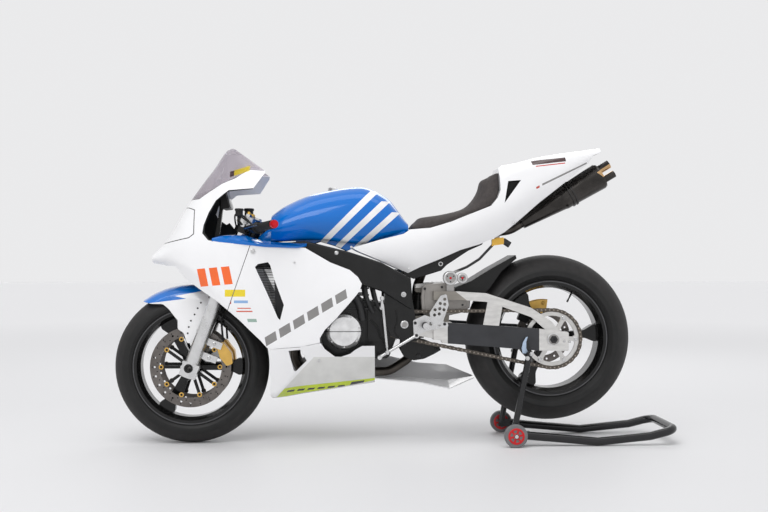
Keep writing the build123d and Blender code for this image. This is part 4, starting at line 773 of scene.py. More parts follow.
TAIL = [
    (616, (60, 1200), (162, 800), (178, 770), (178, 720), (60, 560)),
    (840, (60, 1200), (118, 850), (138, 790), (134, 720), (60, 560)),
    (1000, (60, 1200), (116, 900), (140, 830), (128, 760), (60, 600)),
    (1190, (50, 1080), (108, 1040), (134, 900), (118, 830), (60, 700)),
    (1400, (44, 1124), (88, 1104), (104, 1040), (92, 960), (50, 880)),
    (1592, (30, 1148), (52, 1142), (60, 1132), (52, 1112), (30, 1080)),
]
TAIL_ROUNDS = (40, 50, 50, 40, 20)
WALL = 4.0
SEAM = 0.7                            # each panel stops this far short of a seam's middle

# Side outlines, each point (behind, up).
SCREEN_LINE = [(-160, 934), (-11, 939), (38, 941), (83, 970), (128, 996), (177, 1016), (230, 1050),
               (290, 1046)]
COCKPIT_EDGE = [(290, 1036), (249, 977), (156, 970), (108, 932), (82, 888), (63, 839), (59, 809),
                (82, 783), (126, 776), (240, 765)]
SEAM_TOP = (240, 765)
SEAM_LOW = (156, 522)
FRONT_EDGE = [(115, 556), (52, 597), (-11, 640), (-48, 685), (-160, 690)]
LOWER_FRONT_EDGE = [(200, 485), (238, 448), (278, 410), (301, 384)]
PANEL_REAR = [(310, 760), (443, 755), (536, 701), (610, 672), (640, 646), (655, 620), (647, 594),
              (632, 575), (610, 549), (554, 486), (517, 449), (499, 419), (499, 401)]
CREASE_LINE = [(425, 386), (312, 378)]
BELLY_REAR = [(502, 401), (517, 378), (554, 349), (577, 348), (610, 359), (629, 374), (655, 389),
              (703, 389), (707, 240)]
BELLY_BOTTOM = [(649, 233), (535, 214), (421, 196), (323, 180), (312, 200)]
PANEL_VENT = [(258, 683), (269, 694), (306, 701), (314, 690), (328, 642), (365, 542), (351, 486),
              (343, 494), (306, 579)]
BELLY_VENT = [(382, 372), (425, 376), (449, 334), (408, 293), (401, 297)]
PAN_LINE = [(842, 826), (919, 832), (997, 855), (1074, 886), (1152, 917), (1178, 948), (1190, 979),
            (1187, 1066)]
TAIL_TOP = [(1225, 1090), (1285, 1100), (1444, 1125), (1592, 1147), (1592, 1128)]
TAIL_LOW = [(1562, 1118), (1539, 1084), (1441, 1006), (1344, 932), (1255, 855), (1208, 817),
            (1181, 801), (1111, 770), (1034, 747), (957, 713), (880, 682), (834, 659), (803, 672),
            (726, 707), (642, 742), (619, 755)]
TAIL_FORE = [(725, 786), (782, 800), (816, 809)]
TAIL_VENT = [(1220, 1013), (1270, 1017), (1204, 928)]
BELLY_TAIL = [
    (695, (-20, 242), (-119, 243.5), (-187, 335)),
    (890, (-20, 223), (-112, 230), (-176, 290)),
    (1007, (-20, 198), (-100, 222), (-160, 283)),
    (1107, (-60, 236), (-95, 238), (-120, 244)),
]


def smooth_line(xs, ys):
    """A smooth function through the points that never overshoots them."""
    steps = [b - a for a, b in zip(xs, xs[1:])]
    rises = [(b - a) / step for a, b, step in zip(ys, ys[1:], steps)]
    slopes = [rises[0]]
    for before, after, left, right in zip(rises, rises[1:], steps, steps[1:]):
        if before * after <= 0:
            slopes.append(0.0)
        else:
            near, far = 2 * right + left, right + 2 * left
            slopes.append((near + far) / (near / before + far / after))
    slopes.append(rises[-1])

    def value(x):
        i = max(0, min(len(steps) - 1, sum(1 for knot in xs[1:-1] if x > knot)))
        t = (x - xs[i]) / steps[i]
        held = (1 + 2 * t) * (1 - t) ** 2 * ys[i] + t * t * (3 - 2 * t) * ys[i + 1]
        turned = t * (1 - t) ** 2 * slopes[i] * steps[i] - t * t * (1 - t) * slopes[i + 1] * steps[i]
        return held + turned
    return value


def corner_lines(table):
    """For each corner of a table of cross-sections, its smooth lines of left and up."""
    behinds = [row[0] for row in table]
    return [[smooth_line(behinds, [row[corner][part] for row in table]) for part in (0, 1)]
            for corner in range(1, len(table[0]))]


def sections(table, step):
    """The table's cross-sections with smooth ones between them, as (behind, left half)."""
    behinds = [row[0] for row in table]
    lines = corner_lines(table)
    rows = []
    for near, far in zip(behinds, behinds[1:]):
        count = max(1, round((far - near) / step))
        rows += [near + (far - near) * i / count for i in range(count)]
    rows.append(behinds[-1])
    return [(behind, [(left(behind), up(behind)) for left, up in lines]) for behind in rows]


def round_ring(half, rounds, depth, steps):
    """The whole cross-section from its left half, inset by the depth, each corner a smooth bend."""
    corners = half + [(-left, up) for left, up in reversed(half)]
    if depth:
        corners = inset(corners, depth)
    radii = list(rounds) + list(reversed(rounds))
    ring = []
    for i in range(len(corners)):
        before, here, after = (Vector(corners[(i + shift) % len(corners)]) for shift in (-1, 0, 1))
        back, ahead = before - here, after - here
        reach = min(radii[i], 0.48 * back.length, 0.48 * ahead.length)
        start = here + back.normalized() * reach
        end = here + ahead.normalized() * reach
        for j in range(steps):
            t = j / (steps - 1)
            ring.append(start.lerp(here, t).lerp(here.lerp(end, t), t))
    return ring


def loft_bm(rows, rounds, depth, steps=6, stretch=0):
    """A closed body through smooth cross-sections; stretch pushes its last section rearward."""
    behinds = [behind for behind, _ in rows]
    behinds[0] += depth
    behinds[-1] += stretch
    return skinned([[at(behind, left, up) for left, up in round_ring(half, rounds, depth, steps)]
                    for behind, (_, half) in zip(behinds, rows)])


def prism_bm(outline, right, left):
    """A side outline extruded across the bike."""
    return skinned([[at(behind, side, up) for behind, up in outline] for side in (right, left)])


def strip_bm(rows):
    """A closed band through cross-sections: each row is behind, then (left, up) points all round."""
    return skinned([[at(row[0], left, up) for left, up in row[1:]] for row in rows])


def holder(bm):
    """An object for the shape, to cut with or to put modifiers on."""
    mesh = bpy.data.meshes.new("holder")
    bm.to_mesh(mesh)
    bm.free()
    return linked("holder", mesh)


def applied(thing):
    """The object's mesh with its modifiers applied; the object goes."""
    mesh = bpy.data.meshes.new_from_object(thing.evaluated_get(bpy.context.evaluated_depsgraph_get()))
    bpy.data.objects.remove(thing, do_unlink=True)
    return mesh


def carved(bm, cuts):
    """A mesh cut by other bodies in turn, each given as (operation, bmesh)."""
    base = holder(bm)
    cutters = [holder(other) for _, other in cuts]
    for (operation, _), cutter in zip(cuts, cutters):
        cut = base.modifiers.new("cut", "BOOLEAN")
        cut.operation = operation
        cut.object = cutter
        cut.solver = "EXACT"
    mesh = applied(base)
    for cutter in cutters:
        bpy.data.objects.remove(cutter, do_unlink=True)
    return mesh


def edge_softened(bm, width, angle):
    """The shape with its sharp edges bevelled by so many millimetres."""
    base = holder(bm)
    bevel = base.modifiers.new("bevel", "BEVEL")
    bevel.width = width / 1000
    bevel.segments = 2
    bevel.limit_method = "ANGLE"
    bevel.angle_limit = math.radians(angle)
    return applied(base)


FAR_SIDE = 300                        # past the bodywork on either side


def make_fairing():
    """The fairing's panels and the screen, cut from one smooth shell as the part's are."""
    rows = sections(FAIRING, 14)

    def panel(name, outline, finish, cuts=(), right=-FAR_SIDE, left=FAR_SIDE, wall=WALL):
        inner = loft_bm(rows, FAIRING_ROUNDS, wall, stretch=30)
        within = prism_bm(inset(outline, SEAM), right, left)
        mesh = carved(loft_bm(rows, FAIRING_ROUNDS, 0), [("INTERSECT", within), ("DIFFERENCE", inner), *cuts])
        stand_in(name, mesh, finish)

    def vent(outline, right, left):
        return "DIFFERENCE", prism_bm(outline, right, left)

    upper = SCREEN_LINE + COCKPIT_EDGE + [SEAM_LOW] + FRONT_EDGE
    side = [SEAM_LOW, SEAM_TOP] + PANEL_REAR + CREASE_LINE + list(reversed(LOWER_FRONT_EDGE))
    belly = [PANEL_REAR[-1]] + BELLY_REAR + BELLY_BOTTOM + [(312, 378), (425, 386)]
    panel("windscreen", SCREEN_LINE + [(152, 1150), (-160, 1200)], "screen_tint", wall=3)
    panel("upper_fairing", upper, "upper_paint")
    panel("side_panel_left", side, "panel_paint", [vent(PANEL_VENT, 0, FAR_SIDE)], right=1)
    panel("side_panel_right", side, "panel_paint", [vent(PANEL_VENT, -FAR_SIDE, 0)], left=-1)
    panel("belly_pan", belly, "belly_paint",
          [vent(BELLY_VENT, 150, FAR_SIDE), vent(BELLY_VENT, -FAR_SIDE, -150)])


def make_belly_tail():
    """The belly pan's longer right side, an open scoop under the swingarm."""
    rows = []
    for behind, keel, chine, edge in BELLY_TAIL:
        back = [(edge[0] + WALL, edge[1]), (chine[0] + WALL * 0.6, chine[1] + WALL),
                (keel[0], keel[1] + WALL)]
        rows.append((behind, keel, chine, edge, *back))
    new_piece("belly_scoop", strip_bm(rows), "white_gloss", sharp=20)


def make_tank():
    bm = loft_bm(sections(TANK, 9), TANK_ROUNDS, 0, steps=9)
    stand_in("fuel_tank", edge_softened(bm, 9, 50), "tank_paint", sharp=50)


SHOULDER = [
    # behind, then (left, up) of the inner top, the crown, the outer edge, its underside
    # and the inner underside
    (96, (176, 790), (186, 792), (204, 784), (202, 776), (178, 780)),
    (130, (162, 798), (184, 802), (212, 788), (210, 772), (164, 786)),
    (170, (156, 802), (184, 804), (221, 784), (218, 770), (158, 788)),
    (215, (150, 801), (184, 801), (227, 778), (224, 766), (152, 786)),
    (255, (146, 790), (184, 789), (230, 772), (227, 762), (148, 778)),
    (300, (116, 780), (180, 770), (231, 765), (228, 757), (118, 771)),
    (330, (116, 778), (174, 767), (231, 764), (228, 756), (118, 770)),
    (360, (118, 776), (180, 764), (231, 763), (228, 755), (118, 769)),
    (415, (124, 777), (178, 764), (229, 761), (226, 754), (122, 769)),
    (448, (152, 773), (172, 771), (206, 765), (203, 760), (154, 769)),
]
TANK_NOSE = [
    # behind, then (left, up) round the cross-section, between the swinging bars
    (252, (46, 764), (48, 780), (34, 788), (-34, 788), (-48, 780), (-46, 764)),
    (262, (48, 764), (50, 790), (36, 802), (-36, 802), (-50, 790), (-48, 764)),
    (286, (50, 764), (52, 800), (36, 820), (-36, 820), (-52, 800), (-50, 764)),
    (322, (50, 764), (52, 820), (36, 850), (-36, 850), (-52, 820), (-50, 764)),
]
SKIRT = [(404, 762), (440, 762), (497, 781), (554, 764), (600, 744), (650, 765), (725, 784),
         (782, 798), (822, 808), (826, 820), (740, 812), (652, 792), (495, 800), (404, 796)]
SHOULDER_STEPS = 40
CROWN_STEPS = 8
CROWN_LIFT = 3


def make_shoulders():
    """The tank cover's low front shoulders, its nose, and its skirt down to the spars."""
    lines = corner_lines(SHOULDER)
    first, last = SHOULDER[0][0], SHOULDER[-1][0]
    for name, sign in (("left", 1), ("right", -1)):
        rows = []
        for i in range(SHOULDER_STEPS + 1):
            s = first + (last - first) * i / SHOULDER_STEPS
            corners = [(sign * left(s), up(s)) for left, up in lines]
            a, b, c = corners[:3]
            top = [a]
            for j in range(1, CROWN_STEPS):
                u = j / CROWN_STEPS
                top.append(((1 - u) ** 2 * a[0] + 2 * u * (1 - u) * b[0] + u * u * c[0],
                            (1 - u) ** 2 * a[1] + 2 * u * (1 - u) * (b[1] + CROWN_LIFT) + u * u * c[1]))
            rows.append((s, *top, *corners[2:]))
        new_piece("tank_shoulder_" + name, strip_bm(rows), "blue_gloss", sharp=35)
    new_piece("tank_nose", strip_bm(TANK_NOSE), "blue_gloss", sharp=50)
    skirt = bmesh.new()
    for sign, _ in SIDES:
        side_plate(skirt, SKIRT, sign, 100, 106, 1)
    bmesh.ops.recalc_face_normals(skirt, faces=skirt.faces)
    new_piece("tank_skirt", skirt, "tank_paint")


def make_tail():
    """The single-seat tail, open underneath, with its pan and side vent."""
    rows = sections(TAIL, 14)
    edge = TAIL_FORE + PAN_LINE + TAIL_TOP + TAIL_LOW
    hollow = [(600, 700), (600, 900), (830, 900), (842, 822)]
    hollow += [(behind + 3, up - WALL) for behind, up in PAN_LINE[1:]]
    hollow += [(behind - 3, up - WALL) for behind, up in TAIL_TOP[:-1]]
    hollow += [(1588, 900), (1400, 500), (600, 500)]
    inner = bmesh.new()
    inner.from_mesh(carved(loft_bm(rows, TAIL_ROUNDS, WALL), [("INTERSECT", prism_bm(hollow, -200, 200))]))
    cuts = [("INTERSECT", prism_bm(edge, -250, 250)), ("DIFFERENCE", inner),
            ("DIFFERENCE", prism_bm(TAIL_VENT, -250, 250))]
    mesh = carved(loft_bm(rows, TAIL_ROUNDS, 0), cuts)
    stand_in("tail_unit", mesh, "tail_paint")


FENDER_SIDE = [(-189, 549), (-160, 580), (-60, 625), (40, 625), (82, 600), (82, 536), (36, 413),
               (17, 390), (-13, 390), (-25, 429), (-48, 444), (-48, 479), (-59, 490), (-82, 521),
               (-105, 540), (-147, 541)]
FENDER_CROWN = [(284, 1.0), (303, 0.8), (313, 0.42), (316, 0.0)]
FENDER_HALF = 73.7
FENDER_WALL = 3.1


def fender_bm(less, half):
    """A crowned ring round the front wheel, filled to the axle."""
    bm = bmesh.new()
    crown = curve_points([Vector((radius - less, part * half, 0)) for radius, part in FENDER_CROWN])
    side = [(p.x, p.y) for p in crown]
    profile = [(0, half)] + side + [(radius, -left) for radius, left in reversed(side[:-1])] + [(0, -half)]
    lathe(bm, at(0, 0, FRONT_HUB[1]), LEFT, profile, 96)
    bmesh.ops.recalc_face_normals(bm, faces=bm.faces)
    return bm


def make_fender():
    outline = []
    for i, here in enumerate(FENDER_SIDE):
        before, after = Vector(FENDER_SIDE[i - 1]), Vector(FENDER_SIDE[(i + 1) % len(FENDER_SIDE)])
        for other, mix in ((before, 0.28), (before, 0.12), (after, 0.12), (after, 0.28)):
            outline.append(tuple(Vector(here).lerp(other, mix)))
    cuts = [("INTERSECT", prism_bm(outline, -FENDER_HALF - 1, FENDER_HALF + 1)),
            ("DIFFERENCE", fender_bm(FENDER_WALL, FENDER_HALF - 2.1))]
    mesh = carved(fender_bm(0, FENDER_HALF), cuts)
    stand_in("front_fender", mesh, "fender_paint", "steering", 40)


# ---- wheels, chain and stand --------------------------------------------------------

def around(centre, radius, angle, left):
    """A point round a wheel's axis, its angle in degrees from straight back towards up."""
    turn = math.radians(angle)
    return at(centre[0] + radius * math.cos(turn), left, centre[1] + radius * math.sin(turn))


BOBBIN = [(9.5, -1), (9.5, 1.2), (8.5, 2), (5.2, 2), (4.6, 1.2), (4.6, -1)]
PIN_HOLE = [(0, -0.5), (2.6, -0.5), (2.6, 0.25), (0, 0.25)]
RIM_EDGE = [(219.5, -1), (219.5, 0.25), (221.0, 0.4), (222.5, 0.25), (222.5, -1)]
VALVE = [(0, 0), (4, 0), (4, 12), (3, 13), (3, 30), (4, 31), (4, 37), (2.6, 39), (0, 39)]
HUB_RING = [(40, -0.5), (40, 3), (37, 5), (30, 5), (28, 3), (28, -0.5)]
PIN_HEAD = [(0, -0.5), (3.1, -0.5), (3.1, 1.1), (2.3, 1.7), (0, 1.7)]
DISC_FACE = 66                        # the front discs' outer faces, left and right of the middle
BOBBIN_CIRCLE = 112
DISC_BOLT_CIRCLE = 24
HOLE_CIRCLES = (146, 128)
HOLES = 48
RIM_HALF = {"front": 49, "rear": 75}
RIM_BEAD = 4.2
SPROCKET_FACE = 109.3
SPROCKET_CIRCLE = 92
REAR_DISC_FACE = -86.6
REAR_DISC_CIRCLE = 84
CHAIN_LEFT = 106
PIN_REACH = 7.8


def dress_wheels():
    gold = batch("disc_bobbins", "gold_metal", body="front_wheel")
    heads = batch("disc_bolts", "silver_metal", body="front_wheel")
    holes = batch("disc_pin_holes", "black_metal", body="front_wheel")
    for sign, out in SIDES:
        for i in range(10):
            ring_lathe(gold, around(FRONT_HUB, BOBBIN_CIRCLE, 36 * i, sign * DISC_FACE), out, BOBBIN, 18)
        for i in range(5):
            place = around(FRONT_HUB, DISC_BOLT_CIRCLE, 72 * i + 20, sign * (DISC_FACE + 0.5))
            nut(heads, place, out, 4.6, 4)
        for i in range(HOLES):
            place = around(FRONT_HUB, HOLE_CIRCLES[i % 2], 360 / HOLES * i, sign * (DISC_FACE + 0.3))
            lathe(holes, place, out, PIN_HOLE, 8)
    for name, centre in (("front", FRONT_HUB), ("rear", REAR_HUB)):
        # each rim's raised edge bead, finished in a lighter grey as a painted highlight line round the rim
        edge = batch(name + "_rim_highlight_ring", "rim_black", "rim_painted_highlight", name + "_wheel")
        for sign, out in SIDES:
            ring_lathe(edge, at(centre[0], sign * (RIM_HALF[name] + RIM_BEAD), centre[1]), out, RIM_EDGE, 96)
        foot = around(centre, 197, 60, 0)
        valve = batch(name + "_valve", "dark_metal", body=name + "_wheel")
        lathe(valve, foot, around(centre, 100, 60, 26) - foot, VALVE, 10)
    sprocket = batch("sprocket_nuts", "silver_metal", body="rear_wheel")
    for i in range(6):
        nut(sprocket, around(REAR_HUB, SPROCKET_CIRCLE, 60 * i, SPROCKET_FACE), LEFT, 7, 7)
    hub = batch("rear_hub_ring", "dark_metal", body="rear_wheel")
    ring_lathe(hub, at(REAR_HUB[0], SPROCKET_FACE, REAR_HUB[1]), LEFT, HUB_RING, 36)
    bolts = batch("rear_disc_bolts", "silver_metal", body="rear_wheel")
    for i in range(4):
        nut(bolts, around(REAR_HUB, REAR_DISC_CIRCLE, 90 * i, REAR_DISC_FACE), RIGHT, 6, 5)
    heads = batch("chain_pin_heads", "chain_steel", "pin_steel")
    for s, z in chain_pins():
        for sign, out in SIDES:
            lathe(heads, at(s, CHAIN_LEFT + sign * PIN_REACH, z), out, PIN_HEAD, 8)


CHAIN_PITCH = 15.875
CHAIN_LINKS = 114
FRONT_TEETH = 16
REAR_TEETH = 44


def chain_pins():
    """The places of the chain's pins, as the part has them."""
    front_r, rear_r = (CHAIN_PITCH / 2 / math.sin(math.pi / teeth) for teeth in (FRONT_TEETH, REAR_TEETH))
    rise = math.atan2(COUNTERSHAFT[1] - REAR_HUB[1], REAR_HUB[0] - COUNTERSHAFT[0])
    near, far = 400.0, 900.0
    while far - near > 1e-6:
        span = (near + far) / 2
        slope = math.asin((rear_r - front_r) / span)
        total = (2 * span * math.cos(slope) / CHAIN_PITCH + FRONT_TEETH * (0.5 - slope / math.pi)
                 + REAR_TEETH * (0.5 + slope / math.pi))
        near, far = (near, span) if total > CHAIN_LINKS else (span, far)
    front = (REAR_HUB[0] - span * math.cos(rise), REAR_HUB[1] + span * math.sin(rise))
    run = span * math.cos(slope) / CHAIN_PITCH
    wrap = REAR_TEETH * (0.5 + slope / math.pi)
    up_turn, low_turn = math.pi / 2 + slope - rise, -math.pi / 2 - slope - rise

    def rim(centre, radius, turn):
        return centre[0] + radius * math.cos(turn), centre[1] + radius * math.sin(turn)

    pins = []
    for i in range(CHAIN_LINKS):
        walked = float(i)
        if walked < run or run + wrap <= walked < 2 * run + wrap:
            turn = up_turn if walked < run else low_turn
            part = walked / run if walked < run else 1 - (walked - run - wrap) / run
            a, b = rim(front, front_r, turn), rim(REAR_HUB, rear_r, turn)
            pins.append((a[0] + (b[0] - a[0]) * part, a[1] + (b[1] - a[1]) * part))
        elif walked < run + wrap:
            pins.append(rim(REAR_HUB, rear_r, up_turn - (walked - run) * math.tau / REAR_TEETH))
        else:
            pins.append(rim(front, front_r, low_turn - (walked - 2 * run - wrap) * math.tau / FRONT_TEETH))
    return pins


STAND_TREAD_RING = [(31, -1), (31, 1.2), (29.5, 2), (24.5, 2), (23.5, 1), (23.5, -1)]
STAND_HUB_RING = [(13, -1), (13, 2.2), (12, 3), (9.6, 3), (9.6, -1)]
STAND_HOOK = [(1270, 352), (1266, 372), (1272, 396), (1283, 414), (1290, 416), (1284, 396),
              (1284, 372), (1292, 352)]
SPOKE_INNER, SPOKE_OUTER, SPOKE_HALF = 0.0122, 0.0242, 0.0032     # metres
STAND_WHEEL_LEFT, STAND_WHEEL_HALF = 191, 12
STAND_NUT_LEFT = 204.5
STAND_BOLTS = ((1284, 176, 336), (1300, 176, 352))


def stand_spoke(bm, foot, way, angle):
    """A flat spoke, wider at its outer end, between the hub's two rings."""
    turn = math.radians(angle)
    ray = Vector((-math.cos(turn), 0, math.sin(turn)))
    side = Vector((math.sin(turn), 0, math.cos(turn))) * SPOKE_HALF
    near, far = foot + ray * SPOKE_INNER, foot + ray * SPOKE_OUTER
    corners = ((near, -1), (far, -1.3), (far, 1.3), (near, 1))
    skin(bm, [[bm.verts.new(p + side * k + way * lift) for p, k in corners] for lift in (-0.0005, 0.0014)])


def dress_stand():
    """The stand's red spoked hubs, its axle nuts, the bluish hooks and the bolts."""
    for side, sign, out in (("left", 1, LEFT), ("right", -1, RIGHT)):
        red = batch("stand_hub_" + side, "stand_wheel", "stand_red", "stand_wheel_" + side[0])
        for face, way in ((STAND_WHEEL_HALF, out), (-STAND_WHEEL_HALF, -out)):
            foot = at(STAND_HUB[0], sign * STAND_WHEEL_LEFT, STAND_HUB[1]) + out * (face / 1000)
            ring_lathe(red, foot, way, STAND_TREAD_RING, 32)
            ring_lathe(red, foot, way, STAND_HUB_RING, 20)
            for i in range(6):
                stand_spoke(red, foot, way, 60 * i + 12)
        cap = batch("stand_axle_nut_" + side, "silver_metal")
        nut(cap, at(STAND_HUB[0], sign * STAND_NUT_LEFT, STAND_HUB[1]), out, 7.5, 7)
    hooks = batch("stand_hook_pads", "stand_black", "hook_blue")
    bolts = batch("stand_bolts", "silver_metal")
    for sign, _ in SIDES:
        side_plate(hooks, STAND_HOOK, sign, 144, 149, 1)
    for place, out in both_sides(STAND_BOLTS):
        nut(bolts, place, out, 6.5, 6)


# ---- fork, bars and cockpit -----------------------------------------------------------

FENDER_BOLTS = ((72, 566), (40, 545), (28, 524), (16, 500), (2, 476), (-6, 452), (-10, 428))
AXLE_CAP = [(17, -1), (17, 2), (15.5, 3), (10, 3), (9.2, 2), (9.2, -1)]
FORK_SEAL = [(29, -10), (29, -1), (27, 2), (23.2, 2.6), (22.7, -10)]
FORK_CAP = [(0, 8), (9, 8.5), (9, 15), (8, 16.5), (4.6, 16.5), (4.2, 19), (0, 19)]
STEM_WASHER = [(22, -0.5), (22, 1.6), (21, 2.4), (16, 2.4), (16, -0.5)]
FORK_LEFT = 102
CLAMP_TOP = 618


def dress_fork():
    dark = batch("fender_bolts", "dark_metal", body="steering")
    axle = batch("axle_end_caps", "black_metal", body="steering")
    bolts = batch("fork_pinch_bolts", "silver_metal", body="steering")
    caps = batch("fork_caps", "gold_metal", "cap_gold", "steering")
    washer = batch("stem_washer", "silver_metal", body="steering")
    for sign, out in SIDES:
        for s, z in FENDER_BOLTS:
            screw(dark, at(s, sign * FENDER_HALF, z), out, 3.6, 1.6, 10)
        ring_lathe(axle, at(0, sign * 130, FRONT_HUB[1]), out, AXLE_CAP, 28)
        ring_lathe(axle, steer(330, 30, sign * FORK_LEFT), UP_STEER, FORK_SEAL, 32)
        for along in (-8, 12):
            nut(bolts, steer(along, 63, sign * 96), steer(1, 2, 0) - steer(1, 0, 0), 5, 5)
        for along in (62, 118):
            nut(bolts, steer(along, -22, sign * 102.5), out, 6, 6)
        for along in (407, 603):
            nut(bolts, steer(along, 12, sign * 139), out, 5, 5)
        lathe(caps, steer(CLAMP_TOP, 30, sign * FORK_LEFT), UP_STEER, FORK_CAP, 20)
    ring_lathe(washer, steer(CLAMP_TOP, 0, 0), UP_STEER, STEM_WASHER, 32)


BAR_CABLES = [
    # radius, then the route, clear of the tank and the dash over the whole steering
    (3.2, [(243, 176, 842), (216, 168, 862), (186, 136, 880), (172, 96, 878), (172, 60, 846),
           (184, 38, 804)]),
    (2.8, [(240, 172, 846), (212, 148, 872), (188, 104, 886), (180, 62, 872), (180, 38, 838),
           (190, 32, 802)]),
    (3.4, [(243, -176, 842), (212, -158, 866), (184, -112, 880), (174, -60, 860), (180, -38, 810)]),
    (4.0, [(248, 152, 824), (226, 128, 814), (208, 96, 808), (197, 60, 806), (190, 34, 804)]),
    (4.0, [(248, -152, 824), (226, -128, 814), (208, -96, 808), (197, -60, 806), (190, -34, 804)]),
]
BAR_ROOT, BAR_TIP = (207, 102, 820), (332, 345, 838)
SWITCH_BOXES = ((0.44, 20, 26), (0.34, 15, 20))       # how far along the bar, radius, length
LEVER_CUPS = (((196, 186, 872), 15, 30), ((206, -150, 880), 19, 38))
CUP_HOSE = ((0.002, 0, 0.004), (0.0, 0.004, -0.016), (-0.012, 0, -0.032))
DASH_OUTLINE = [(-70, 8), (-58, 66), (-40, 72), (40, 72), (58, 66), (70, 8), (56, 2), (-56, 2)]
DASH_MIDDLE = 38
DASH_FOOT, DASH_HEAD = (150.6, 0, 909), (128.8, 0, 989)


def dress_cockpit():
    """Cables, switch boxes, the levers' cups and the dash's face."""
    cables = batch("bar_cables", "black_plastic", body="steering")
    for radius, route in BAR_CABLES:
        hose(cables, placed(route), radius)
    boxes = batch("switch_boxes", "black_plastic", body="steering")
    for sign, _ in SIDES:
        root, tip = placed((BAR_ROOT, BAR_TIP), sign)
        along = (tip - root).normalized()
        for part, radius, length in SWITCH_BOXES:
            end = radius * 0.86
            lathe(boxes, root.lerp(tip, part) - along * length / 2000, along,
                  [(0, 0), (end, 0), (radius, 2.5), (radius, length - 2.5), (end, length), (0, length)], 8)
    cups = batch("lever_cups", "black_plastic", body="steering")
    for place, radius, high in LEVER_CUPS:
        foot = at(*place)
        lid = radius * 1.1
        lathe(cups, foot, UP, [(0, 0), (radius * 0.8, 0), (radius * 0.94, 2), (radius * 0.94, high * 0.7),
                               (lid, high * 0.72), (lid, high * 0.94), (radius * 0.9, high), (0, high)], 22)
        hose(cups, [foot + Vector(step) for step in CUP_HOSE], 4)
    dash = batch("dash_face", "black_plastic", "dash_glass")
    foot, up_way = at(*DASH_FOOT), (at(*DASH_HEAD) - at(*DASH_FOOT)).normalized()
    out = up_way.cross(LEFT).normalized()
    rings = []
    for grow, lift in ((1.0, -1), (1.0, 2.0), (0.95, 3.2)):
        corners = [(y * grow / 1000, (DASH_MIDDLE + (z - DASH_MIDDLE) * grow) / 1000)
                   for y, z in DASH_OUTLINE]
        rings.append([dash.verts.new(foot + LEFT * left + up_way * up + out * (lift / 1000))
                      for left, up in corners])
    skin(dash, rings)


LINER_LEFT = [(-70, 760), (-20, 940), (90, 978), (228, 1044), (286, 1030), (246, 975), (156, 966),
              (110, 928), (86, 886), (68, 840), (66, 812), (86, 786), (126, 779), (236, 768),
              (200, 700), (60, 640)]
LINER_RIGHT = [(-70, 760), (-20, 935), (60, 985), (126, 1004), (128, 940), (118, 868), (150, 826),
               (150, 770), (100, 700), (0, 700)]
LINER_WINDOW = [(84, 872), (72, 892), (86, 928), (112, 960), (136, 962), (136, 868), (112, 852)]


def make_liner():
    """The black inner panel of the nose, with an open window on its right side."""
    rows = sections([row for row in FAIRING if row[0] < 330], 14)
    for side, outline, right, left in (("left", LINER_LEFT, 5, FAR_SIDE),
                                       ("right", LINER_RIGHT, -FAR_SIDE, -5)):
        cuts = [("INTERSECT", prism_bm(outline, right, left)),
                ("DIFFERENCE", loft_bm(rows, FAIRING_ROUNDS, WALL + 2.4, stretch=30))]
        if side == "right":
            cuts.append(("DIFFERENCE", prism_bm(LINER_WINDOW, right, left)))
        mesh = carved(loft_bm(rows, FAIRING_ROUNDS, WALL + 0.6), cuts)
        new_piece("nose_liner_" + side, mesh, "black_plastic")


# ---- tank, seat, tail and exhaust ----------------------------------------------------------

TANK_CAP = [(0, -8), (34, -8), (34, 4), (32, 6), (26, 6.6), (24, 5.6), (10, 5.6), (8, 8), (0, 8)]
CAP_TILT = Vector((-0.10, 0, 1)).normalized()


def dress_tank():
    crown = at(560, 0, 983)
    lathe(batch("tank_cap", "silver_metal"), crown, CAP_TILT, TANK_CAP, 40)
    first, second = axis_frame(CAP_TILT)
    for i in range(6):
        turn = math.tau * i / 6
        place = crown + CAP_TILT * 0.0058 + (first * math.cos(turn) + second * math.sin(turn)) * 0.029
        screw(batch("tank_cap_bolts", "dark_metal"), place, CAP_TILT, 2.6, 1.6, 10)


SEAT_LOW = [(845, 830.5), (919, 833), (997, 856), (1074, 887), (1152, 918), (1177, 949),
            (1188, 979), (1187, 1048)]
SEAT_TOP = [(861, 858), (888, 874), (967, 886), (1047, 906), (1086, 934), (1114, 977),
            (1126, 1017), (1158, 1040)]
SEAT_HALF = 96
SEAT_EDGE = 0.42                      # thickness at the sides, as a part of the thickness in the middle
SEAT_ACROSS = [i / 12 for i in range(-12, 13)]


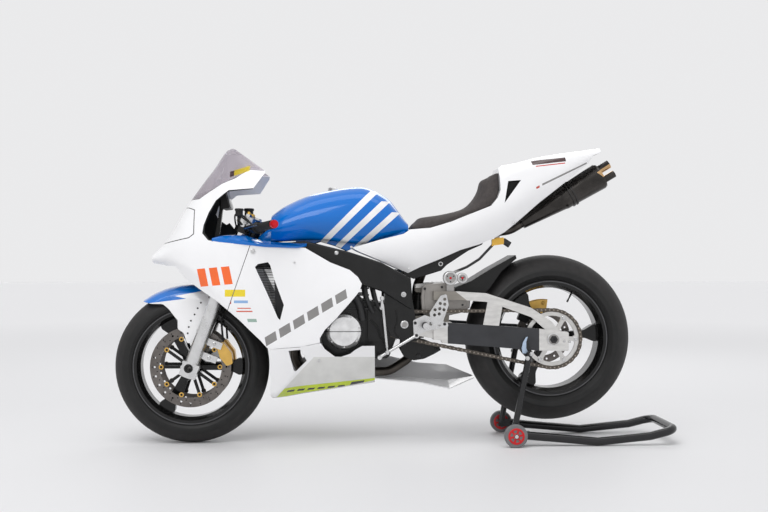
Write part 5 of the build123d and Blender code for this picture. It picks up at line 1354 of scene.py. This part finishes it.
def make_seat():
    """The foam pad: a crowned mesh over the seat pan, thinnest at its edges."""
    bm = bmesh.new()
    tops, lows = [], []
    low_line, top_line = (curve_points([Vector((s, 0, z)) for s, z in line], 5)
                          for line in (SEAT_LOW, SEAT_TOP))
    for i, (low, top) in enumerate(zip(low_line, top_line)):
        part = i / (len(low_line) - 1)
        if part < 0.5:
            pinch = 1 - 0.10 * (1 - math.sin(math.pi * min(1, part * 1.25 + 0.1)))
        else:
            pinch = 1 - 0.22 * max(0, part - 0.7) / 0.3
        width = SEAT_HALF * pinch
        ends = min(1.0, 0.35 + 6 * part, 0.35 + 6 * (1 - part))
        tops.append([])
        lows.append([])
        for u in SEAT_ACROSS:
            crown = (1 - abs(u) ** 3.2)
            point = low + (top - low) * (SEAT_EDGE + (1 - SEAT_EDGE) * crown) * (0.55 + 0.45 * ends)
            tops[-1].append(bm.verts.new(at(point.x, u * width, point.z)))
            lows[-1].append(bm.verts.new(at(low.x + 0.2, u * (width - 2), low.z + 0.4)))
    for rows, flip in ((tops, False), (lows, True)):
        for near, far in zip(rows, rows[1:]):
            for k in range(len(near) - 1):
                face = (near[k], near[k + 1], far[k + 1], far[k])
                bm.faces.new(tuple(reversed(face)) if flip else face)
    for top, low in ((tops[0], lows[0]), (tops[-1], lows[-1])):
        for k in range(len(top) - 1):
            bm.faces.new((top[k], top[k + 1], low[k + 1], low[k]))
    for k in (0, -1):
        for i in range(len(tops) - 1):
            bm.faces.new((tops[i][k], tops[i + 1][k], lows[i + 1][k], lows[i][k]))
    bmesh.ops.recalc_face_normals(bm, faces=bm.faces)
    pad = new_piece("seat_cushion", bm, "seat_foam", sharp=60)
    soft = pad.modifiers.new("soft", "SUBSURF")
    soft.levels = soft.render_levels = 1
    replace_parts(pad, "seat_pad")


VENT_BACKING = [(1190, 920), (1196, 1026), (1282, 1030), (1214, 916)]
SUBFRAME_PLATE = [(812, 668), (822, 650), (856, 636), (904, 650), (962, 668), (984, 690),
                  (1066, 744), (1120, 768), (1128, 784), (1060, 772), (960, 728), (880, 696)]
LUG_RING = [(9, -1), (9, 1.2), (8, 2), (5.5, 2), (5.5, -1)]
SILENCER_FOOT = (1283, 0, 850)
SILENCER_CLIMB = math.radians(31)
TAIL_FASTENERS = ((1243, 121, 851), (838, 137, 674), (616, 181, 757))


def dress_tail():
    """The vent's dark backing, the subframe's side plates, the silencer's bands and the tail's fasteners."""
    backing = batch("tail_vent_backing", "black_plastic")
    plates = batch("subframe_plates", "black_metal")
    lugs = batch("subframe_lug_rings", "silver_metal")
    band = batch("silencer_band", "titanium_dark", "band_steel")
    fasteners = batch("panel_fasteners", "silver_metal")
    for sign, out in SIDES:
        side_plate(backing, VENT_BACKING, sign, 84, 87, 0.5)
        side_plate(plates, SUBFRAME_PLATE, sign, 96, 104, 1.5)
        ring_lathe(lugs, at(960, sign * 104, 694), out, LUG_RING, 22)
    climb = Vector((-math.cos(SILENCER_CLIMB), 0, math.sin(SILENCER_CLIMB)))
    for along, radius in ((226, 51), (240, 51.6)):
        ring_lathe(band, at(*SILENCER_FOOT) + climb * (along / 1000), climb,
                   [(radius - 3, -4), (radius, -3.4), (radius + 0.8, 0), (radius, 3.4), (radius - 3, 4)], 48)
    for place, out in both_sides(TAIL_FASTENERS):
        screw(fasteners, place, out, 5, 1.6)


# ---- fairing, engine bay and frame ----------------------------------------------------------------------

FAIRING_FASTENERS = ((250, 229.6, 742, 8.5), (495, 212, 334, 6.5), (404, 233, 700, 3.6), (178, 207, 552, 3.6))
FASTENER_RING = ((1, -2), (1, 0.6), (0.9, 1.1), (0.72, 1.1), (0.66, 0.3), (0.66, -2))
FASTENER_HEAD = ((0, -2), (0.6, -2), (0.6, 0.5), (0.2, 0.8), (0, 0.8))


def dress_panels():
    fasteners = batch("fairing_fasteners", "silver_metal")
    for *spot, radius in FAIRING_FASTENERS:
        for place, out in both_sides([spot]):
            ring_lathe(fasteners, place, out, scaled(FASTENER_RING, radius), 22)
            lathe(fasteners, place, out, scaled(FASTENER_HEAD, radius), 18)


FRAME_BOLTS = ((814, 158.6, 578, 10), (818, 150, 464, 15))
FRAME_RING = ((1, -1), (1, 2), (0.9, 3), (0.62, 3), (0.58, 1), (0.58, -1))
FRAME_NUTS = ((814, 158.6, 578, 5, 5), (560, 168.6, 736, 6, 4))
COVER_MIDDLE = (588, 439)
COVER_BOLTS = 7
FINS = 34
COOLANT_HOSES = [
    # the route, radius and sides
    ([(520, 96, 690), (560, 128, 640), (612, 134, 596), (646, 132, 540), (660, 126, 480)], 15, 12),
    ([(640, 122, 662), (664, 136, 620), (676, 136, 560), (700, 128, 510)], 9, 10),
    ([(690, 126, 640), (702, 136, 590), (716, 134, 540), (744, 128, 500)], 7, 10),
]
ENGINE_WIRES = [
    ([(690, 128, 480), (716, 138, 450), (730, 138, 410), (760, 132, 380)], 3.5),
    ([(784, 152, 520), (790, 153, 480), (780, 153, 440), (800, 152, 410)], 2.2),
]


def dress_engine():
    ring = batch("frame_bolt_rings", "silver_metal")
    cover = batch("cover_bolts", "silver_metal")
    hoses = batch("coolant_hoses", "black_plastic", "hose_rubber")
    wires = batch("engine_wires", "black_plastic")
    case = batch("case_ribs", "dark_metal")
    fins = batch("radiator_fins", "dark_metal", "fin_grey")
    for i in range(COVER_BOLTS):
        nut(cover, around(COVER_MIDDLE, 59, 360 / COVER_BOLTS * i + 14, 168), LEFT, 3.6, 3.6)
    for sign, out in SIDES:
        for s, left, z, radius in FRAME_BOLTS:
            ring_lathe(ring, at(s, sign * left, z), out, scaled(FRAME_RING, radius), 28)
        for s, left, z, radius, high in FRAME_NUTS:
            nut(ring, at(s, sign * left, z), out, radius, high)
        for route, radius, sides in COOLANT_HOSES:
            hose(hoses, placed(route, sign), radius, sides)
        for route, radius in ENGINE_WIRES:
            hose(wires, placed(route, sign), radius)
        for i in range(6):
            z = 520 + 26 * i
            rib = [(556 + 10 * i, z), (684, z), (684, z + 7), (558 + 10 * i, z + 7)]
            side_plate(case, rib, sign, 118, 124, 1)
        for i in range(FINS):
            z = 500 + i * 6.2
            s = 250 + (700 - z) * 0.32
            side_plate(fins, [(s, z), (s + 70, z), (s + 70, z + 2.2), (s, z + 2.2)], sign, 168, 171, 0.3)


# ---- swingarm, shock and controls ----------------------------------------------------------------------

CASTING_FACE = [(884, 566), (890, 606), (904, 618), (984, 622), (1014, 600), (1076, 552),
                (1074, 524), (1036, 504), (990, 494), (906, 488), (888, 508)]
CASTING_BOLTS = ((900, 91, 598), (966, 91, 604), (1030, 91, 574), (902, 91, 512), (1046, 91, 536))
ARM_SCREWS = ((1432, 141, 398), (1452, 141, 396))
CROWN_SWEEP = [52 + 7.5 * i for i in range(7)]
CROWN_ARCHES = [
    # inner and outer radius, right and left faces, eased edge
    (115, 144, -97, -71, 3),
    (86, 147, -99, -90, 2.5),
    (86, 147, -79, -68, 2.5),
]
AXLE_RING = [(24, -1), (24, 2), (22, 3), (16, 3), (16, -1)]
PEDAL_LEFT = 167
RESERVOIR_FACE = 136
RESERVOIR_UP = 640
CUP_FACE = ((1.5, -1), (1.5, 1.6), (3, 2.6), (7, 2.6), (8, 1), (8, -1))
KNOB = [(0, -1), (4.5, -1), (4.5, 4), (3.8, 5), (0, 5)]
LINKAGE = [(812, 402), (846, 408), (905, 396), (962, 372), (968, 356), (940, 340), (902, 322),
           (862, 316), (824, 330), (806, 362)]
LINKAGE_PINS = ((828, 384), (950, 358), (880, 334))
ROD_FOOT, ROD_HEAD = (752, PEDAL_LEFT + 5, 360), (732, PEDAL_LEFT + 5, 564)
ROD_EYE = [(0, 0), (6.5, 0.5), (8.5, 3), (8.5, 11), (6.5, 13.5), (0, 14)]
PEG_GROOVE = [(11.8, -2), (12.9, -1.6), (12.9, 1.6), (11.8, 2)]
REARSET_NUTS = ((862, 172.5, 424), (858, 159.5, 470), (970, 159.5, 466))


def dress_caliper():
    """The rear caliper's gold arch over the disc."""
    crown = batch("rear_caliper_crown", "gold_metal")

    def on_disc(radius, angle):
        turn = math.radians(angle)
        return REAR_HUB[0] - radius * math.cos(turn), REAR_HUB[1] + radius * math.sin(turn)

    for inner, outer, right, left, ease in CROWN_ARCHES:
        arch = [on_disc(inner, angle) for angle in CROWN_SWEEP]
        arch += [on_disc(outer, angle) for angle in reversed(CROWN_SWEEP)]
        plate(crown, arch, right, left, ease)
    for angle in (60, 90):
        s, z = on_disc(131, angle)
        nut(crown, at(s, -68, z), LEFT, 6, 6)


def dress_arm():
    bolts = batch("arm_bolts", "silver_metal")
    big = batch("rear_axle_nuts", "dark_metal")
    face = batch("casting_faces", "silver_metal", "casting_grey")
    rims = batch("casting_bolts", "dark_metal")
    for place, out in both_sides(ARM_SCREWS):
        screw(bolts, place, out, 5, 3)
    for sign, out in SIDES:
        ring_lathe(bolts, at(REAR_HUB[0], sign * 140.2, REAR_HUB[1]), out, AXLE_RING, 30)
        nut(big, at(REAR_HUB[0], sign * 140.5, REAR_HUB[1]), out, 15.5, 9)
        side_plate(face, CASTING_FACE, sign, 82, 91, 3)
        side_plate(face, inset(CASTING_FACE, 14), sign, 90, 92.5, 1)
    for place, out in both_sides(CASTING_BOLTS):
        nut(rims, place, out, 4.5, 5)
    cups = batch("reservoir_faces", "silver_metal")
    knobs = batch("reservoir_knobs", "red_anodised")
    for s, radius, left in ((995, 27, RESERVOIR_FACE), (1041, 20, RESERVOIR_FACE - 4)):
        ring_lathe(cups, at(s, left, RESERVOIR_UP), LEFT, [(radius - less, up) for less, up in CUP_FACE], 36)
        for i in range(3):
            screw(rims, around((s, RESERVOIR_UP), radius - 13, 120 * i + 30, left), LEFT, 2.6, 1.8, 10)
        lathe(knobs, at(s, left, RESERVOIR_UP), LEFT, KNOB, 14)
    link = batch("shock_linkage", "black_metal")
    for sign in (-1, 1):
        side_plate(link, LINKAGE, sign, 22, 30, 3)
    for s, z in LINKAGE_PINS:
        lathe(link, at(s, -36, z), LEFT, [(0, 0), (9, 0), (9, 72), (0, 72)], 16)
        nut(rims, at(s, 36, z), LEFT, 7, 5)


def dress_controls():
    sleeve = batch("shift_rod_sleeve", "silver_metal")
    foot, head = placed((ROD_FOOT, ROD_HEAD))
    along = (head - foot).normalized()
    lathe(sleeve, foot + along * 0.018, along, [(3.4, 0), (5.6, 1), (5.6, 164), (3.4, 165)], 14)
    for place in (foot, head):
        lathe(sleeve, place - LEFT * 0.007, LEFT, ROD_EYE, 16)
    pegs = batch("peg_grooves", "dark_metal")
    for sign, out in SIDES:
        for i in range(7):
            ring_lathe(pegs, at(894, sign * (170 + 9 * i), 462), out, PEG_GROOVE, 24)
    for place, out in both_sides(REARSET_NUTS):
        nut(pegs, place, out, 5, 4)


make_camera()
make_stage()
make_lamps()
make_materials()
dress_nodes()
make_paints()
paint_regions()
for make in (make_fairing, make_belly_tail, make_tank, make_shoulders, make_tail, make_fender, make_liner,
             make_seat, dress_wheels, dress_stand, dress_fork, dress_cockpit, dress_tank, dress_tail,
             dress_panels, dress_engine, dress_caliper, dress_arm, dress_controls, finish_batches):
    make()
bpy.context.scene.view_settings.view_transform = "Standard"
